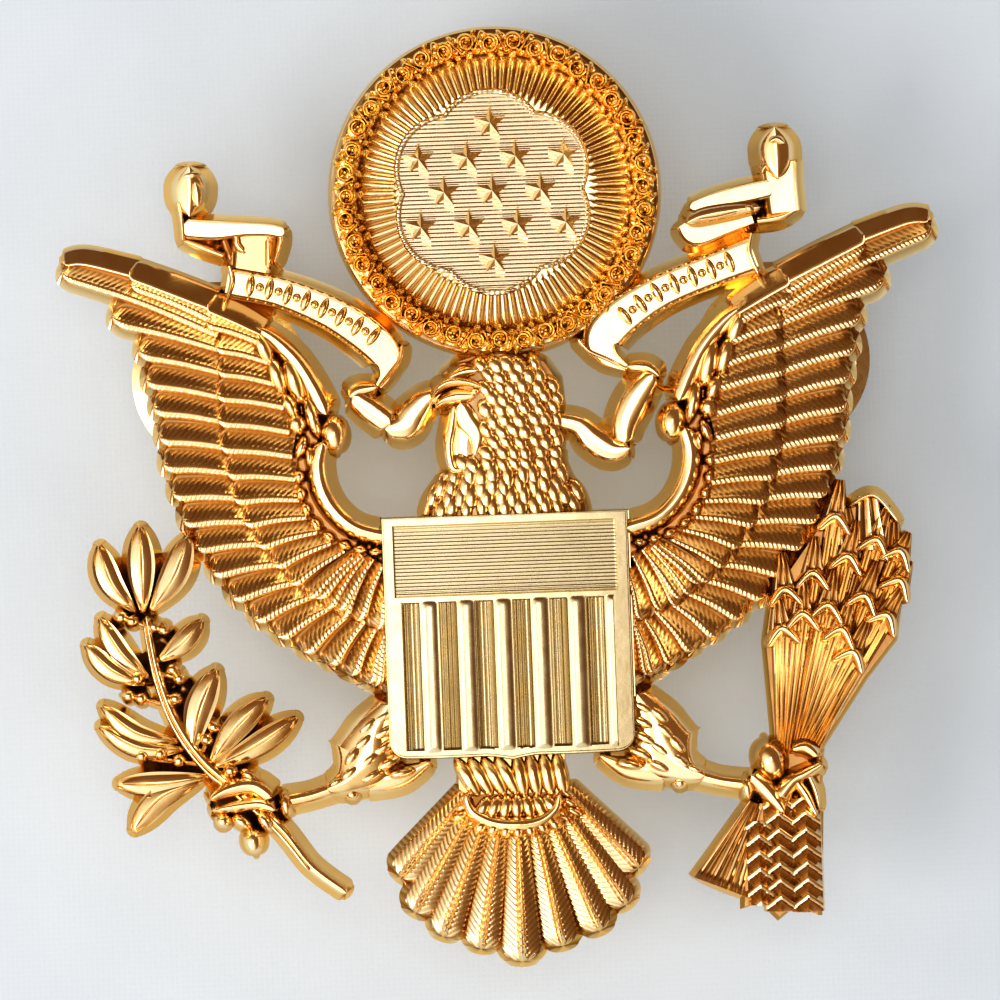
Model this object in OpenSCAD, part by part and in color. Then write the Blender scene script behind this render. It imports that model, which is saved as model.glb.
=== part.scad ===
// Cap badge: an eagle with a ribbon in its beak, under a disc of clouds and stars, with a
// striped shield on its breast, a leafy branch and a sheaf of arrows in its talons. Two posts
// on the back carry butterfly clutches that hold it on a cap.
// It stands as worn: +Z up, front towards -Y, origin midway between the posts on the back plane.
// A depth is how far something lies in front of that plane; a reach is how far behind it.

/* [Relief] */
// Depth of the wings' outer feathers
primary_depth = 1.9; // [1.5:0.1:2.2]
// Depth of the wings' inner feathers
covert_depth = 2.4; // [2.3:0.1:2.8]
// Depth of the rolled front edge of the wings
arm_depth = 2.9; // [2.9:0.1:3.4]
// Depth of the breast plate behind the shield
breast_depth = 2.4; // [2.0:0.1:2.8]
// Depth of the ribbon's flat bands
ribbon_depth = 2.2; // [1.8:0.1:2.6]
// Depth of the leaves, shafts and tail feathers
foliage_depth = 1.8; // [1.4:0.1:2.2]

/* [Cloud disc] */
// Outer radius of the disc at its back
disc_r = 10.7; // [10:0.1:11.2]
// Depth of the disc's rim
disc_depth = 2.6; // [2.4:0.1:3.2]
// Width of the band of cloud curls
cloud_w = 1.9; // [1.6:0.1:2.2]
// Number of curls round the band
curls = 40; // [30:2:48]
// Point-to-centre radius of a star
star_r = 1.02; // [0.8:0.02:1.1]

/* [Shield] */
// Width of the shield
shield_w = 15.8; // [15:0.1:16.4]
// Height of the shield's straight sides and foot
shield_h = 15.3; // [15:0.1:15.8]
// Thickness of the shield
shield_t = 1.3; // [1.1:0.1:1.8]
// Number of sunk stripes
stripes = 6; // [5:1:7]

/* [Posts] */
// Distance between the two posts
post_gap = 36.6; // [34:0.2:38]
// Radius of a post's root, where the cap's cloth sits
post_r = 0.65; // [0.6:0.01:0.8]
// Radius of a post's spike
spike_r = 0.48; // [0.4:0.01:0.49]
// Reach of the spike's point
post_reach = 8.4; // [7.5:0.1:10]

/* [Clutches] */
// Outer radius of a clutch's base disc
clutch_r = 5.8; // [5:0.1:6.2]
// Reach of the base disc's front face
clutch_reach = 3.2; // [3:0.1:3.4]
// Outer radius of the spring housing
housing_r = 3.4; // [3.3:0.1:4]
// Width of the spring leaves
leaf_w = 3.2; // [2.6:0.1:3.2]

/* [Hidden] */

$fn = 48;
gold = [0.86, 0.66, 0.27];
deep_gold = [0.80, 0.55, 0.16];
pale_gold = [0.88, 0.80, 0.58];
brass = [0.72, 0.58, 0.30];

disc_z = 11.4;                       // height of the disc's centre
plate_x = -0.15;                     // the star plate sits a little off centre
plate_floor = 1.3;                   // depth of the cup's flat floor
plate_top = 2.3;                     // depth of the star plate's face
star_top = 2.8;
rim_step = 0.5;                      // how far the clouds stand out from the rim
star_pitch = 3.13;
star_row = 2.2;
lobe_r = 3.6;                        // radius of one of the star plate's six lobes
lobe_out = 3.1;                      // and how far out its centre is

shield_top = -9.5;
shield_point = 0.5;                  // how far the middle of the foot drops
corner_r = 1.6;
chief_h = 4.7;                       // height of the sunk panel across the top
stripe_w = 1.15;
stripe_pitch = 2.38;
sunk = 0.3;

pad_r = 2.2;                         // soldered foot of a post
pad_t = 0.5;
root_end = 2.9;                      // reach of the thick root
groove_r = 0.38;
groove_at = 5.6;
groove_w = 0.6;

sheet = 0.4;                         // sheet metal of the clutch
slip = 0.07;                         // gap round the post in the clutch's holes
jaw_slip = 0.04;
base_back = clutch_reach + sheet;
housing_back = base_back + 2.8;
pivot_reach = base_back + 1.3;
pivot_z = 2.2;                       // distance of a leaf's pivot from the post
pivot_r = 0.22;
pivot_gap = 0.05;
leaf_t = 0.3;
window_gap = 0.15;

// Strokes are lists of [x, z, width], smoothed into a band. The sides are mirrored by side = -1.
wing_tips = [
    [28.0, 7.6], [25.0, 4.4], [23.4, 2.2], [23.0, 0.3], [22.6, -1.5], [22.3, -3.4],
    [22.1, -5.2], [21.6, -7.1], [21.0, -8.9], [20.3, -10.6], [19.3, -12.3], [18.1, -14.0],
    [16.7, -15.5], [15.2, -16.7], [13.6, -17.8], [12.0, -18.7], [10.6, -19.5], [9.4, -20.1]
];
wing_mids = [
    [18.2, 3.9], [18.4, 2.3], [18.4, 0.8], [18.5, -0.8], [18.5, -2.4], [18.4, -4.1],
    [18.1, -5.8], [17.7, -7.5], [17.1, -9.1], [16.3, -10.6], [15.3, -12.0], [14.3, -13.3],
    [13.2, -14.3], [12.0, -15.1], [11.0, -15.8], [10.0, -16.4], [9.2, -16.9], [8.6, -17.4]
];
wing_roots = [
    [15.5, 2.6], [14.9, 1.4], [14.5, 0.0], [14.0, -1.5], [13.7, -3.1], [13.6, -4.7],
    [13.5, -6.2], [13.3, -7.6], [12.9, -8.8], [12.3, -9.8], [11.5, -10.6], [10.7, -11.2],
    [10.0, -11.6], [9.4, -11.8], [8.9, -12.0]
];
feather_w = 1.85;
covert_w = 1.5;
wing_arm = [
    [26.4, 7.9, 1.2], [23.4, 7.0, 1.4], [18.6, 4.6, 1.8], [15.4, 2.3, 2.8], [13.4, 0.0, 3.0],
    [12.0, -2.6, 3.0], [12.0, -5.6, 1.9], [11.4, -8.0, 1.6], [9.8, -9.8, 1.5], [8.0, -10.6, 1.4]
];
wing_lift = 0.045;                   // the right wing is cast a little higher towards its tip
wing_lift_from = 10;

left_bands = [
    [[-19.8, 11.8, 1.8], [-19.5, 9.4, 1.9]],
    [[-20.3, 9.9, 1.8], [-18.2, 9.3, 2.2], [-16.0, 9.0, 2.0], [-14.3, 8.9, 1.6]],
    [[-14.9, 9.2, 2.3], [-15.9, 6.8, 2.6]],
    [[-17.5, 6.1, 2.1], [-14.2, 5.5, 2.3], [-11.0, 4.1, 2.6], [-8.4, 2.5, 2.8], [-7.2, 1.3, 2.5]],
    [[-7.2, 1.5, 2.5], [-8.1, -0.6, 1.0]],
    [[-8.0, -0.9, 0.9], [-9.6, -1.3, 1.4]],
    [[-9.7, -1.3, 1.5], [-8.6, -2.3, 1.9], [-7.4, -3.5, 1.8]],
    [[-7.6, -3.7, 1.3], [-6.2, -3.4, 2.3], [-5.4, -2.2, 2.2], [-4.4, -1.6, 1.7], [-3.2, -1.8, 1.2]]
];
right_bands = [
    [[18.3, 13.2, 2.3], [18.4, 9.0, 2.6]],
    [[18.6, 10.4, 2.4], [15.6, 9.6, 2.4], [13.0, 9.3, 2.0]],
    [[13.1, 9.4, 2.2], [13.5, 7.2, 1.9]],
    [[13.2, 8.0, 1.8], [16.6, 8.6, 1.2]],
    [[16.7, 6.7, 2.4], [13.6, 5.8, 2.4], [10.4, 4.6, 2.5], [7.8, 2.8, 2.9], [6.2, 1.5, 2.4]],
    [[6.1, 1.7, 2.4], [8.1, 0.0, 1.0]],
    [[8.1, -0.2, 0.8], [9.6, -0.6, 1.4]],
    [[9.4, -0.7, 2.0], [8.3, -2.2, 2.3], [7.7, -3.8, 2.2], [7.6, -5.3, 1.4]],
    [[8.1, -5.5, 0.9], [7.0, -5.8, 1.9], [5.8, -4.9, 2.2], [4.9, -3.9, 1.6], [3.8, -3.5, 1.4]]
];
left_ball = [-19.6, 12.2];
right_ball = [18.2, 13.6];
ball_r = 1.45;

neck_outline = [
    [-5.3, -9.5], [-5.1, -8.6], [-4.4, -7.6], [-4.0, -6.6], [-3.9, -5.0], [-3.5, -3.6],
    [-3.1, -2.6], [-4.0, -2.2], [-4.3, -1.4], [-3.8, -0.2], [-2.9, 0.6], [-1.6, 0.95],
    [1.6, 0.95], [2.8, 0.3], [3.6, -0.8], [3.9, -2.2], [3.9, -5.8], [4.6, -7.2], [5.2, -8.4],
    [5.4, -9.5]
];
brow = [[-3.9, -1.6, 0.9], [-3.4, -0.9, 1.3], [-1.8, -0.8, 1.6], [0.6, -1.2, 3.4], [2.2, -3.6, 3.0]];

leg_stroke = [
    [8.4, -22.6, 3.6], [9.2, -24.6, 4.8], [10.6, -26.3, 2.6], [13.0, -27.2, 1.5],
    [15.2, -27.6, 1.7]
];
thigh_foot = [[9.6, -26.2, 2.2], [7.2, -25.9, 2.0], [5.6, -25.5, 1.2]];
left_toes = [
    [[-19.4, -26.6, 1.0], [-17.4, -26.4, 1.4], [-15.8, -27.6, 1.7]],
    [[-19.4, -27.8, 0.9], [-17.4, -27.6, 1.2], [-15.8, -28.0, 1.4]],
    [[-17.0, -30.1, 1.2], [-16.8, -29.2, 1.4], [-15.8, -28.4, 1.4]]
];
right_toes = [
    [[16.4, -25.4, 1.6], [16.0, -26.4, 2.0], [15.2, -27.4, 1.8]],
    [[19.3, -25.6, 1.1], [18.6, -26.4, 1.2], [16.6, -27.6, 2.2]],
    [[19.2, -28.8, 1.2], [18.2, -27.8, 1.4], [16.4, -28.2, 1.6]]
];

tail_tips = [[8.2, -31.9], [7.0, -34.5], [5.1, -36.2], [2.7, -37.3], [0, -38.5]];
tail_root = [0, -25.4];
tail_w = 2.2;
collar = [[-3.9, -24.9], [3.5, -24.9], [2.9, -29.2], [0, -29.8], [-3.3, -29.2]];

stem = [
    [-11.0, -33.6, 1.0], [-13.4, -31.8, 1.1], [-15.2, -29.4, 1.2], [-17.4, -27.2, 1.3],
    [-20.0, -24.9, 1.1], [-21.8, -22.2, 0.9], [-22.9, -19.0, 0.8], [-23.5, -15.2, 0.6]
];
// Each leaf is [foot, tip, width]
leaves = [
    [[-23.9, -15.2], [-26.3, -10.6], 1.6], [[-23.7, -15.3], [-23.8, -9.5], 1.8],
    [[-23.3, -15.1], [-20.7, -10.1], 1.8], [[-23.4, -19.2], [-26.4, -15.2], 1.4],
    [[-23.5, -19.6], [-27.4, -16.9], 1.4], [[-22.8, -18.1], [-19.9, -15.6], 1.6],
    [[-20.7, -24.2], [-19.1, -18.8], 1.9], [[-19.6, -24.9], [-16.0, -20.8], 1.7],
    [[-19.4, -25.1], [-14.1, -22.1], 1.6], [[-21.8, -23.4], [-26.6, -20.9], 1.4],
    [[-21.4, -23.8], [-26.7, -22.2], 1.4], [[-19.8, -25.7], [-25.7, -26.0], 1.7],
    [[-20.4, -26.0], [-24.8, -29.1], 1.6]
];
berries = [
    [-24.6, -15.4], [-22.8, -15.9], [-21.8, -18.6], [-21.5, -19.5], [-21.8, -20.7],
    [-24.1, -19.6], [-24.7, -20.4], [-23.6, -21.0], [-24.2, -24.3], [-22.9, -24.2],
    [-21.7, -24.7], [-19.3, -22.4], [-19.9, -23.2]
];
berry_r = 0.55;
// Twigs that carry the berries
twigs = [
    [[-24.6, -15.4, 0.5], [-23.5, -15.8, 0.5], [-22.8, -15.9, 0.5]],
    [[-21.5, -19.5, 0.5], [-22.4, -19.3, 0.5], [-23.0, -18.8, 0.5]],
    [[-21.8, -18.6, 0.5], [-22.5, -19.0, 0.5], [-23.0, -19.2, 0.5]],
    [[-21.8, -20.7, 0.5], [-22.2, -20.8, 0.5], [-22.6, -20.8, 0.5]],
    [[-24.1, -19.6, 0.5], [-23.4, -20.2, 0.5], [-22.4, -20.6, 0.5]],
    [[-24.7, -20.4, 0.5], [-23.6, -20.9, 0.5], [-22.3, -21.2, 0.5]],
    [[-24.2, -24.3, 0.5], [-22.6, -24.3, 0.5], [-20.2, -24.9, 0.5]],
    [[-19.3, -22.4, 0.5], [-19.9, -23.2, 0.5], [-20.4, -24.4, 0.5]]
];

arrow_grip = [18.3, -27.5];          // where the shafts cross in the talon
// Points of the arrowheads
arrow_points = [
    [20.9, -10.0], [23.6, -9.2], [25.6, -12.7], [19.5, -13.6], [22.6, -12.9], [25.2, -14.2],
    [17.9, -15.0], [20.7, -16.1], [23.2, -15.5], [24.6, -16.8], [17.5, -17.6], [21.4, -17.7],
    [22.3, -19.1]
];
head_l = 2.6;
head_w = 2.2;
shaft_w = 0.8;
fletching = [
    [15.2, -28.6], [13.3, -30.2], [11.0, -33.1], [13.6, -34.6], [14.4, -35.5], [15.9, -35.1],
    [16.9, -36.3], [18.3, -35.3], [19.6, -36.3], [19.7, -28.6]
];

post_x = post_gap / 2;
rivet_at = [[-5.2, -12.2], [5.2, -12.2], [0, -22.2]];
rivet_r = 0.8;
rivet_in = 0.7;                      // how deep a rivet stands in the shield's back

// Point on a smooth curve through p[i] and p[i + 1], a share u of the way along
function between(p, i, u) =
    let (
        last = len(p) - 1,
        a = p[max(i - 1, 0)],
        b = p[i],
        c = p[i + 1],
        d = p[min(i + 2, last)]
    )
    0.5 * (2 * b + (c - a) * u + (2 * a - 5 * b + 4 * c - d) * u * u
        + (3 * b - a - 3 * c + d) * u * u * u);

// The curve as points, steps of them from each point to the next
function smooth(p, steps = 4) =
    concat([for (i = [0:len(p) - 2], s = [0:steps - 1]) between(p, i, s / steps)], [p[len(p) - 1]]);

// Edge point of a stroke, half its width to one side of its middle line
function edge(q, i, way) =
    let (
        run = q[min(i + 1, len(q) - 1)] - q[max(i - 1, 0)],
        along = [run[0], run[1]] / norm([run[0], run[1]])
    )
    [q[i][0], q[i][1]] + way * q[i][2] / 2 * [-along[1], along[0]];

// Closed outline of a stroke
function band(q) =
    concat([for (i = [0:len(q) - 1]) edge(q, i, 1)], [for (i = [len(q) - 1:-1:0]) edge(q, i, -1)]);

// Leaf-shaped outline from foot to tip, widest just past its middle
function leaf_shape(foot, tip, w, n = 8) =
    band([for (i = [0:n]) let (u = i / n, p = foot + (tip - foot) * u)
        [p[0], p[1], 0.12 + w * pow(sin(180 * pow(u, 1.15)), 0.8)]]);

// Outline points of a star with five points
function star_shape(r) = [for (i = [0:9]) (i % 2 == 0 ? r : r * 0.42) * [sin(36 * i), cos(36 * i)]];

// An outline in the XZ plane, made solid from one depth to another
module raised(from, to) {
    translate([0, -from, 0])
        rotate([90, 0, 0])
            linear_extrude(to - from) children();
}

// A profile of [radius, reach] turned round a post's axis
module turned_back(x, z = 0) {
    translate([x, 0, z])
        rotate([-90, 0, 0])
            rotate_extrude() children();
}

module stroke(q) polygon(band(smooth(q)));

// Outline of a straight blade with a round end
function blade_shape(foot, tip, w) =
    let (
        along = (tip - foot) / norm(tip - foot),
        turn = atan2(along[1], along[0]),
        stop = tip - along * w / 2
    )
    concat(
        [foot + w / 2 * [cos(turn - 90), sin(turn - 90)]],
        [for (a = [-90:30:90]) stop + w / 2 * [cos(turn + a), sin(turn + a)]],
        [foot + w / 2 * [cos(turn + 90), sin(turn + 90)]]
    );

module blade(foot, tip, w) polygon(blade_shape(foot, tip, w));

// Everything that covers the breast in the XZ plane, which its neighbours stop at
module breast_shape() {
    translate([-shield_w / 2, shield_top - shield_h + corner_r])
        square([shield_w, shield_h - corner_r]);
    translate([-shield_w / 2 + corner_r, shield_top - shield_h])
        square([shield_w - 2 * corner_r, shield_h]);
}

module breast_plate() {
    color(gold) raised(0, breast_depth) breast_shape();
}

module head_and_neck() {
    color(gold) {
        raised(0, 2.6) difference() {
            polygon(neck_outline);
            ribbon_shape(left_bands);
            ribbon_shape(right_bands);
            disc_shape();
        }
        raised(2.5, 3.6) difference() {
            stroke(brow);
            ribbon_shape(left_bands);
            ribbon_shape(right_bands);
        }
    }
}

// The wing between its feathers' middles, the shield's edge and the arm
wing_web = concat(
    wing_mids,
    [[shield_w / 2 - 0.1, -17.6], [shield_w / 2 - 0.1, -10.6]],
    [for (i = [len(wing_arm) - 2:-1:2]) [wing_arm[i][0], wing_arm[i][1]]]
);

// A point of a wing: side is -1 for the viewer's left and 1 for the right
function on_wing(p, side) =
    [side * p[0], p[1] + (side > 0 ? wing_lift * (p[0] - wing_lift_from) : 0)];

module wing_arm_shape(side) {
    stroke([for (p = wing_arm) concat(on_wing(p, side), [p[2]])]);
}

// Outline of a wing: level 0 is all of it, 1 the inner feathers and the arm, 2 the arm alone
module wing_shape(side, level) {
    if (level == 0) {
        for (i = [0:len(wing_tips) - 1])
            blade(on_wing(wing_mids[i] * 0.97, side), on_wing(wing_tips[i], side), feather_w);
        polygon([for (p = wing_web) on_wing(p, side)]);
    }
    if (level < 2)
        for (i = [0:len(wing_roots) - 1])
            blade(on_wing(wing_roots[i], side), on_wing(wing_mids[i], side), covert_w);
    wing_arm_shape(side);
}

module wing(side, ribbon) {
    depths = [0, primary_depth, covert_depth, arm_depth];
    color(gold)
        for (level = [0:2])
            raised(depths[level], depths[level + 1]) difference() {
                wing_shape(side, level);
                breast_shape();
                ribbon_shape(ribbon);
            }
}

module left_wing() wing(-1, left_bands);
module right_wing() wing(1, right_bands);

module ribbon_shape(bands) {
    for (q = bands) stroke(q);
}

module disc_shape() {
    translate([0, disc_z]) circle(r = disc_r, $fn = 96);
}

module ribbon(bands, ball) {
    color(gold) {
        difference() {
            raised(0, ribbon_depth) ribbon_shape(bands);
            raised(-1, 5) disc_shape();
        }
        translate([ball[0], -ribbon_depth / 2, ball[1]]) rotate([90, 0, 0])
            cylinder(r = ball_r, h = ribbon_depth, center = true);
        translate([ball[0], -ribbon_depth, ball[1]]) sphere(r = ball_r * 0.75);
    }
}

module left_ribbon() ribbon(left_bands, left_ball);
module right_ribbon() ribbon(right_bands, right_ball);

module leg_shape(side) {
    stroke([for (p = leg_stroke) [side * p[0], p[1], p[2]]]);
    stroke([for (p = thigh_foot) [side * p[0], p[1], p[2]]]);
}

module toe_shape(toes) {
    for (q = toes) stroke(q);
}

module leg(side, toes) {
    color(gold) difference() {
        union() {
            raised(0, 2.3) leg_shape(side);
            raised(0, 2.7) toe_shape(toes);
        }
        raised(-1, 5) breast_shape();
        raised(-1, 5) polygon(collar);
        raised(-1, 5) for (s = [-1, 1]) tail_feathers(s);
        wing_cut(side);
    }
}

// What the wings take out of their neighbours
module wing_cut(side) {
    raised(-1, 5)
        for (i = [0:len(wing_tips) - 1])
            blade(on_wing(wing_mids[i] * 0.97, side), on_wing(wing_tips[i], side), feather_w);
}

module left_leg() leg(-1, left_toes);
module right_leg() leg(1, right_toes);

module tail_feathers(side) {
    for (tip = tail_tips)
        blade(tail_root + [side * 0.8, 0], [side * tip[0], tip[1]], tail_w);
}

module tail_fan() {
    color(gold) difference() {
        union() {
            raised(0, foliage_depth) for (s = [-1, 1]) tail_feathers(s);
            raised(0, covert_depth) polygon(collar);
        }
        raised(-1, 5) breast_shape();
    }
}

module branch_shape() {
    stroke(stem);
    for (q = twigs) stroke(q);
    for (l = leaves) polygon(leaf_shape(l[0], l[1], l[2]));
}

module branch() {
    color(gold) difference() {
        union() {
            raised(0, foliage_depth) branch_shape();
            for (b = berries)
                translate([b[0], -foliage_depth, b[1]]) sphere(r = berry_r, $fn = 24);
            raised(0, foliage_depth) for (b = berries) translate(b) circle(r = berry_r, $fn = 24);
        }
        raised(-1, 5) toe_shape(left_toes);
        raised(-1, 5) leg_shape(-1);
        wing_cut(-1);
    }
}

// An arrow whose point is at the given place, its shaft running back to the talon
module arrow(point) {
    back = (arrow_grip - point) / norm(arrow_grip - point);
    across = [-back[1], back[0]];
    neck = point + back * head_l;
    polygon([point, neck + across * head_w / 2, point + back * head_l * 0.8, neck - across * head_w / 2]);
    foot = arrow_grip - back * 1.5;
    polygon(band([[point[0] + back[0], point[1] + back[1], shaft_w], [foot[0], foot[1], shaft_w]]));
}

module arrow_sheaf() {
    color(gold) difference() {
        union() {
            raised(0, foliage_depth) polygon([
                [17.0, -25.0], [16.9, -16.4], [19.0, -13.6], [21.0, -11.6], [24.0, -11.4],
                [24.8, -17.6], [22.6, -20.8], [19.9, -25.0], [19.6, -28.6], [15.4, -28.6]
            ]);
            raised(0, foliage_depth + 0.5) for (p = arrow_points) arrow(p);
            raised(0, foliage_depth + 0.3) polygon(fletching);
        }
        raised(-1, 5) toe_shape(right_toes);
        raised(-1, 5) leg_shape(1);
        wing_cut(1);
    }
}

// A round dish with a thick rim, raised in front of the back plane
module disc_cup() {
    inner = disc_r - cloud_w;
    color(gold) translate([0, 0, disc_z]) rotate([90, 0, 0]) rotate_extrude($fn = 96) polygon([
        [0, 0], [disc_r, 0], [disc_r - 0.25, disc_depth], [inner - 0.2, disc_depth],
        [inner - 0.5, plate_floor + 0.9], [lobe_r + lobe_out + 0.15, plate_floor], [0, plate_floor]
    ]);
}

// Clouds: a flat band with small curls standing on it
module cloud_band() {
    middle = disc_r - cloud_w / 2 - 0.2;
    curl_r = 0.62;
    color(deep_gold) translate([0, 0, disc_z]) {
        rotate([90, 0, 0]) rotate_extrude($fn = 96)
            translate([middle - cloud_w / 2 + 0.1, disc_depth]) square([cloud_w - 0.2, rim_step]);
        for (i = [0:curls - 1])
            rotate([0, i * 360 / curls, 0])
                translate([middle + (i % 2 == 0 ? 0.15 : -0.15), 0.1 - disc_depth - rim_step, 0])
                    rotate([90, 0, 0]) difference() {
                        cylinder(r = curl_r, h = 0.4, $fn = 24);
                        translate([0, 0, 0.2]) cylinder(r = curl_r / 2, h = 1, $fn = 24);
                    }
    }
}

module star_plate() {
    color(pale_gold) translate([plate_x, 0, disc_z]) {
        raised(plate_floor, plate_top) {
            circle(r = lobe_out);
            for (i = [0:5]) rotate(30 + 60 * i) translate([lobe_out, 0]) circle(r = lobe_r, $fn = 64);
        }
        for (row = [-2:2])
            for (i = [0:star_count(row) - 1])
                translate([(i - (star_count(row) - 1) / 2) * star_pitch, 0, row * star_row])
                    raised(plate_top, star_top) polygon(star_shape(star_r));
    }
}

// Stars in each row of the plate, from the bottom row -2 to the top row 2
function star_count(row) = abs(row) == 2 ? 1 : abs(row) == 1 ? 4 : 3;

module shield_outline(inset = 0) {
    w = shield_w / 2 - inset;
    top = shield_top - inset;
    foot = shield_top - shield_h + inset;
    turn = corner_r - inset;
    polygon(concat(
        [[w, top], [-w, top]],
        [for (a = [180:15:270]) [-w + turn, foot + turn] + turn * [cos(a), sin(a)]],
        [[0, foot - shield_point]],
        [for (a = [270:15:360]) [w - turn, foot + turn] + turn * [cos(a), sin(a)]]
    ));
}

module shield() {
    front = breast_depth + shield_t;
    line = 0.5;                      // width of the raised border
    color(pale_gold) difference() {
        raised(breast_depth, front) shield_outline();
        raised(front - sunk, front + 1)
            translate([-shield_w / 2 + line, shield_top - line - chief_h])
                square([shield_w - 2 * line, chief_h]);
        raised(front - sunk, front + 1)
            for (i = [0:stripes - 1])
                translate([(i - (stripes - 1) / 2) * stripe_pitch - stripe_w / 2,
                        shield_top - shield_h + line])
                    square([stripe_w, shield_h - chief_h - 3 * line]);
        rivet_holes();
    }
}

// Blind holes in the shield's back that its rivets stand in
module rivet_holes() {
    for (p = rivet_at)
        translate([p[0], -breast_depth, p[1]]) rotate([90, 0, 0])
            cylinder(r = rivet_r, h = rivet_in * 2, center = true);
}

module shield_rivets() {
    color(brass) for (p = rivet_at)
        translate([p[0], -breast_depth, p[1]]) rotate([90, 0, 0])
            cylinder(r = rivet_r, h = rivet_in);
}

module post(x) {
    color(brass) turned_back(x) polygon([
        [0, 0], [pad_r, 0], [pad_r, pad_t * 0.6], [pad_r - 0.2, pad_t], [post_r, pad_t],
        [post_r, root_end], [spike_r, root_end], [spike_r, groove_at - groove_w / 2],
        [groove_r, groove_at - groove_w / 4], [groove_r, groove_at + groove_w / 4],
        [spike_r, groove_at + groove_w / 2], [spike_r, post_reach - 1.4], [0.06, post_reach],
        [0, post_reach]
    ]);
}

module left_post() post(-post_x);
module right_post() post(post_x);

// Dished disc with a turned-back rim
module clutch_base(x) {
    hole = spike_r + slip;
    color(brass) turned_back(x) polygon([
        [hole, clutch_reach], [clutch_r - 0.9, clutch_reach], [clutch_r, clutch_reach + 0.5],
        [clutch_r, clutch_reach + 1.1], [clutch_r - sheet, clutch_reach + 1.1],
        [clutch_r - sheet, clutch_reach + 0.75], [clutch_r - 1.05, base_back], [hole, base_back]
    ]);
}

module left_clutch_base() clutch_base(-post_x);
module right_clutch_base() clutch_base(post_x);

// Cup that carries the two leaves, open above and below where they come out
module clutch_housing(x) {
    hole = spike_r + slip;
    window = leaf_w / 2 + window_gap;
    color(brass) difference() {
        turned_back(x) polygon([
            [housing_r - sheet, base_back], [housing_r, base_back], [housing_r, housing_back - 0.4],
            [housing_r - 0.4, housing_back], [hole, housing_back], [hole, housing_back - sheet],
            [housing_r - sheet, housing_back - sheet]
        ]);
        translate([x - window, base_back + 0.01, -housing_r - 1])
            cube([2 * window, housing_back - sheet - base_back, 2 * housing_r + 2]);
        for (z = [-pivot_z, pivot_z])
            translate([x, pivot_reach, z]) rotate([0, 90, 0])
                cylinder(r = pivot_r + pivot_gap, h = 2 * housing_r, center = true, $fn = 24);
    }
}

module left_clutch_housing() clutch_housing(-post_x);
module right_clutch_housing() clutch_housing(post_x);

// Spring leaf: a jaw with half a hole for the post, a pivot pin, and an ear to pinch.
// up is 1 for the leaf above the post and -1 for the one below
module spring_leaf(x, up) {
    ear = [
        [pivot_z - 0.6, pivot_reach, leaf_t], [pivot_z + 0.9, pivot_reach + 0.05, leaf_t],
        [pivot_z + 2.3, pivot_reach + 0.9, leaf_t], [pivot_z + 3.4, pivot_reach + 2.3, leaf_t],
        [pivot_z + 4.2, pivot_reach + 2.9, leaf_t]
    ];
    color(brass) translate([x, 0, 0]) mirror([0, 0, up > 0 ? 0 : 1]) {
        difference() {
            translate([-leaf_w / 2, pivot_reach - leaf_t / 2, 0.02])
                cube([leaf_w, leaf_t, pivot_z - 0.4]);
            translate([0, pivot_reach, 0]) rotate([90, 0, 0])
                cylinder(r = spike_r + jaw_slip, h = 4 * leaf_t, center = true);
        }
        translate([-leaf_w / 2, 0, 0]) rotate([90, 0, 90])
            linear_extrude(leaf_w) polygon([for (p = band(smooth(ear))) [p[1], p[0]]]);
        translate([0, pivot_reach, pivot_z]) rotate([0, 90, 0])
            cylinder(r = pivot_r, h = leaf_w + 1.5, center = true, $fn = 24);
    }
}

module left_upper_leaf() spring_leaf(-post_x, 1);
module left_lower_leaf() spring_leaf(-post_x, -1);
module right_upper_leaf() spring_leaf(post_x, 1);
module right_lower_leaf() spring_leaf(post_x, -1);

breast_plate();
head_and_neck();
left_wing();
right_wing();
left_leg();
right_leg();
tail_fan();
branch();
arrow_sheaf();
left_ribbon();
right_ribbon();
disc_cup();
cloud_band();
star_plate();
shield();
shield_rivets();
left_post();
right_post();
left_clutch_base();
left_clutch_housing();
left_upper_leaf();
left_lower_leaf();
right_clutch_base();
right_clutch_housing();
right_upper_leaf();
right_lower_leaf();
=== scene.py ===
import bpy
import numpy as np
from mathutils import Matrix


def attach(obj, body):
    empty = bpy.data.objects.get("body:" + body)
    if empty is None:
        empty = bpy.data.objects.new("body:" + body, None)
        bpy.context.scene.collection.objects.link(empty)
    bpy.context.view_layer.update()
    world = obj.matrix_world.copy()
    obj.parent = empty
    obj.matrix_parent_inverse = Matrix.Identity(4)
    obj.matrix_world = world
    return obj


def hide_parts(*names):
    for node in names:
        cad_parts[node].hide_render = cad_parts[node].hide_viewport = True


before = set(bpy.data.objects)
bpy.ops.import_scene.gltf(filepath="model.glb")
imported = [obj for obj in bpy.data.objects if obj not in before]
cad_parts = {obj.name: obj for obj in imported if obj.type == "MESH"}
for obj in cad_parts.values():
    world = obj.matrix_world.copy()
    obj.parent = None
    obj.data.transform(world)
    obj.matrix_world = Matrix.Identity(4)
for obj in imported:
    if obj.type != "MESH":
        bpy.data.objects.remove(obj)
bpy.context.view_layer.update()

# Camera. A long lens square on to the badge, which hangs a touch anticlockwise in view.
# The frame is 64.7 mm wide where it cuts the badge's front.
lean = np.radians(2.08)
stand_off, frame_wide = 0.55, 0.0647
looking_at = np.array([-0.375, -1.5, -8.53]) * 0.001
camera = bpy.data.objects.new("camera", bpy.data.cameras.new("camera"))
camera.data.lens = 36 * stand_off / frame_wide
camera.data.clip_start = 0.01
camera.matrix_world = Matrix((
    (np.cos(lean), np.sin(lean), 0, looking_at[0]),
    (0, 0, -1, looking_at[1] - stand_off),
    (-np.sin(lean), np.cos(lean), 0, looking_at[2]),
    (0, 0, 0, 1),
))
bpy.context.scene.collection.objects.link(camera)
bpy.context.scene.camera = camera
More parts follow.
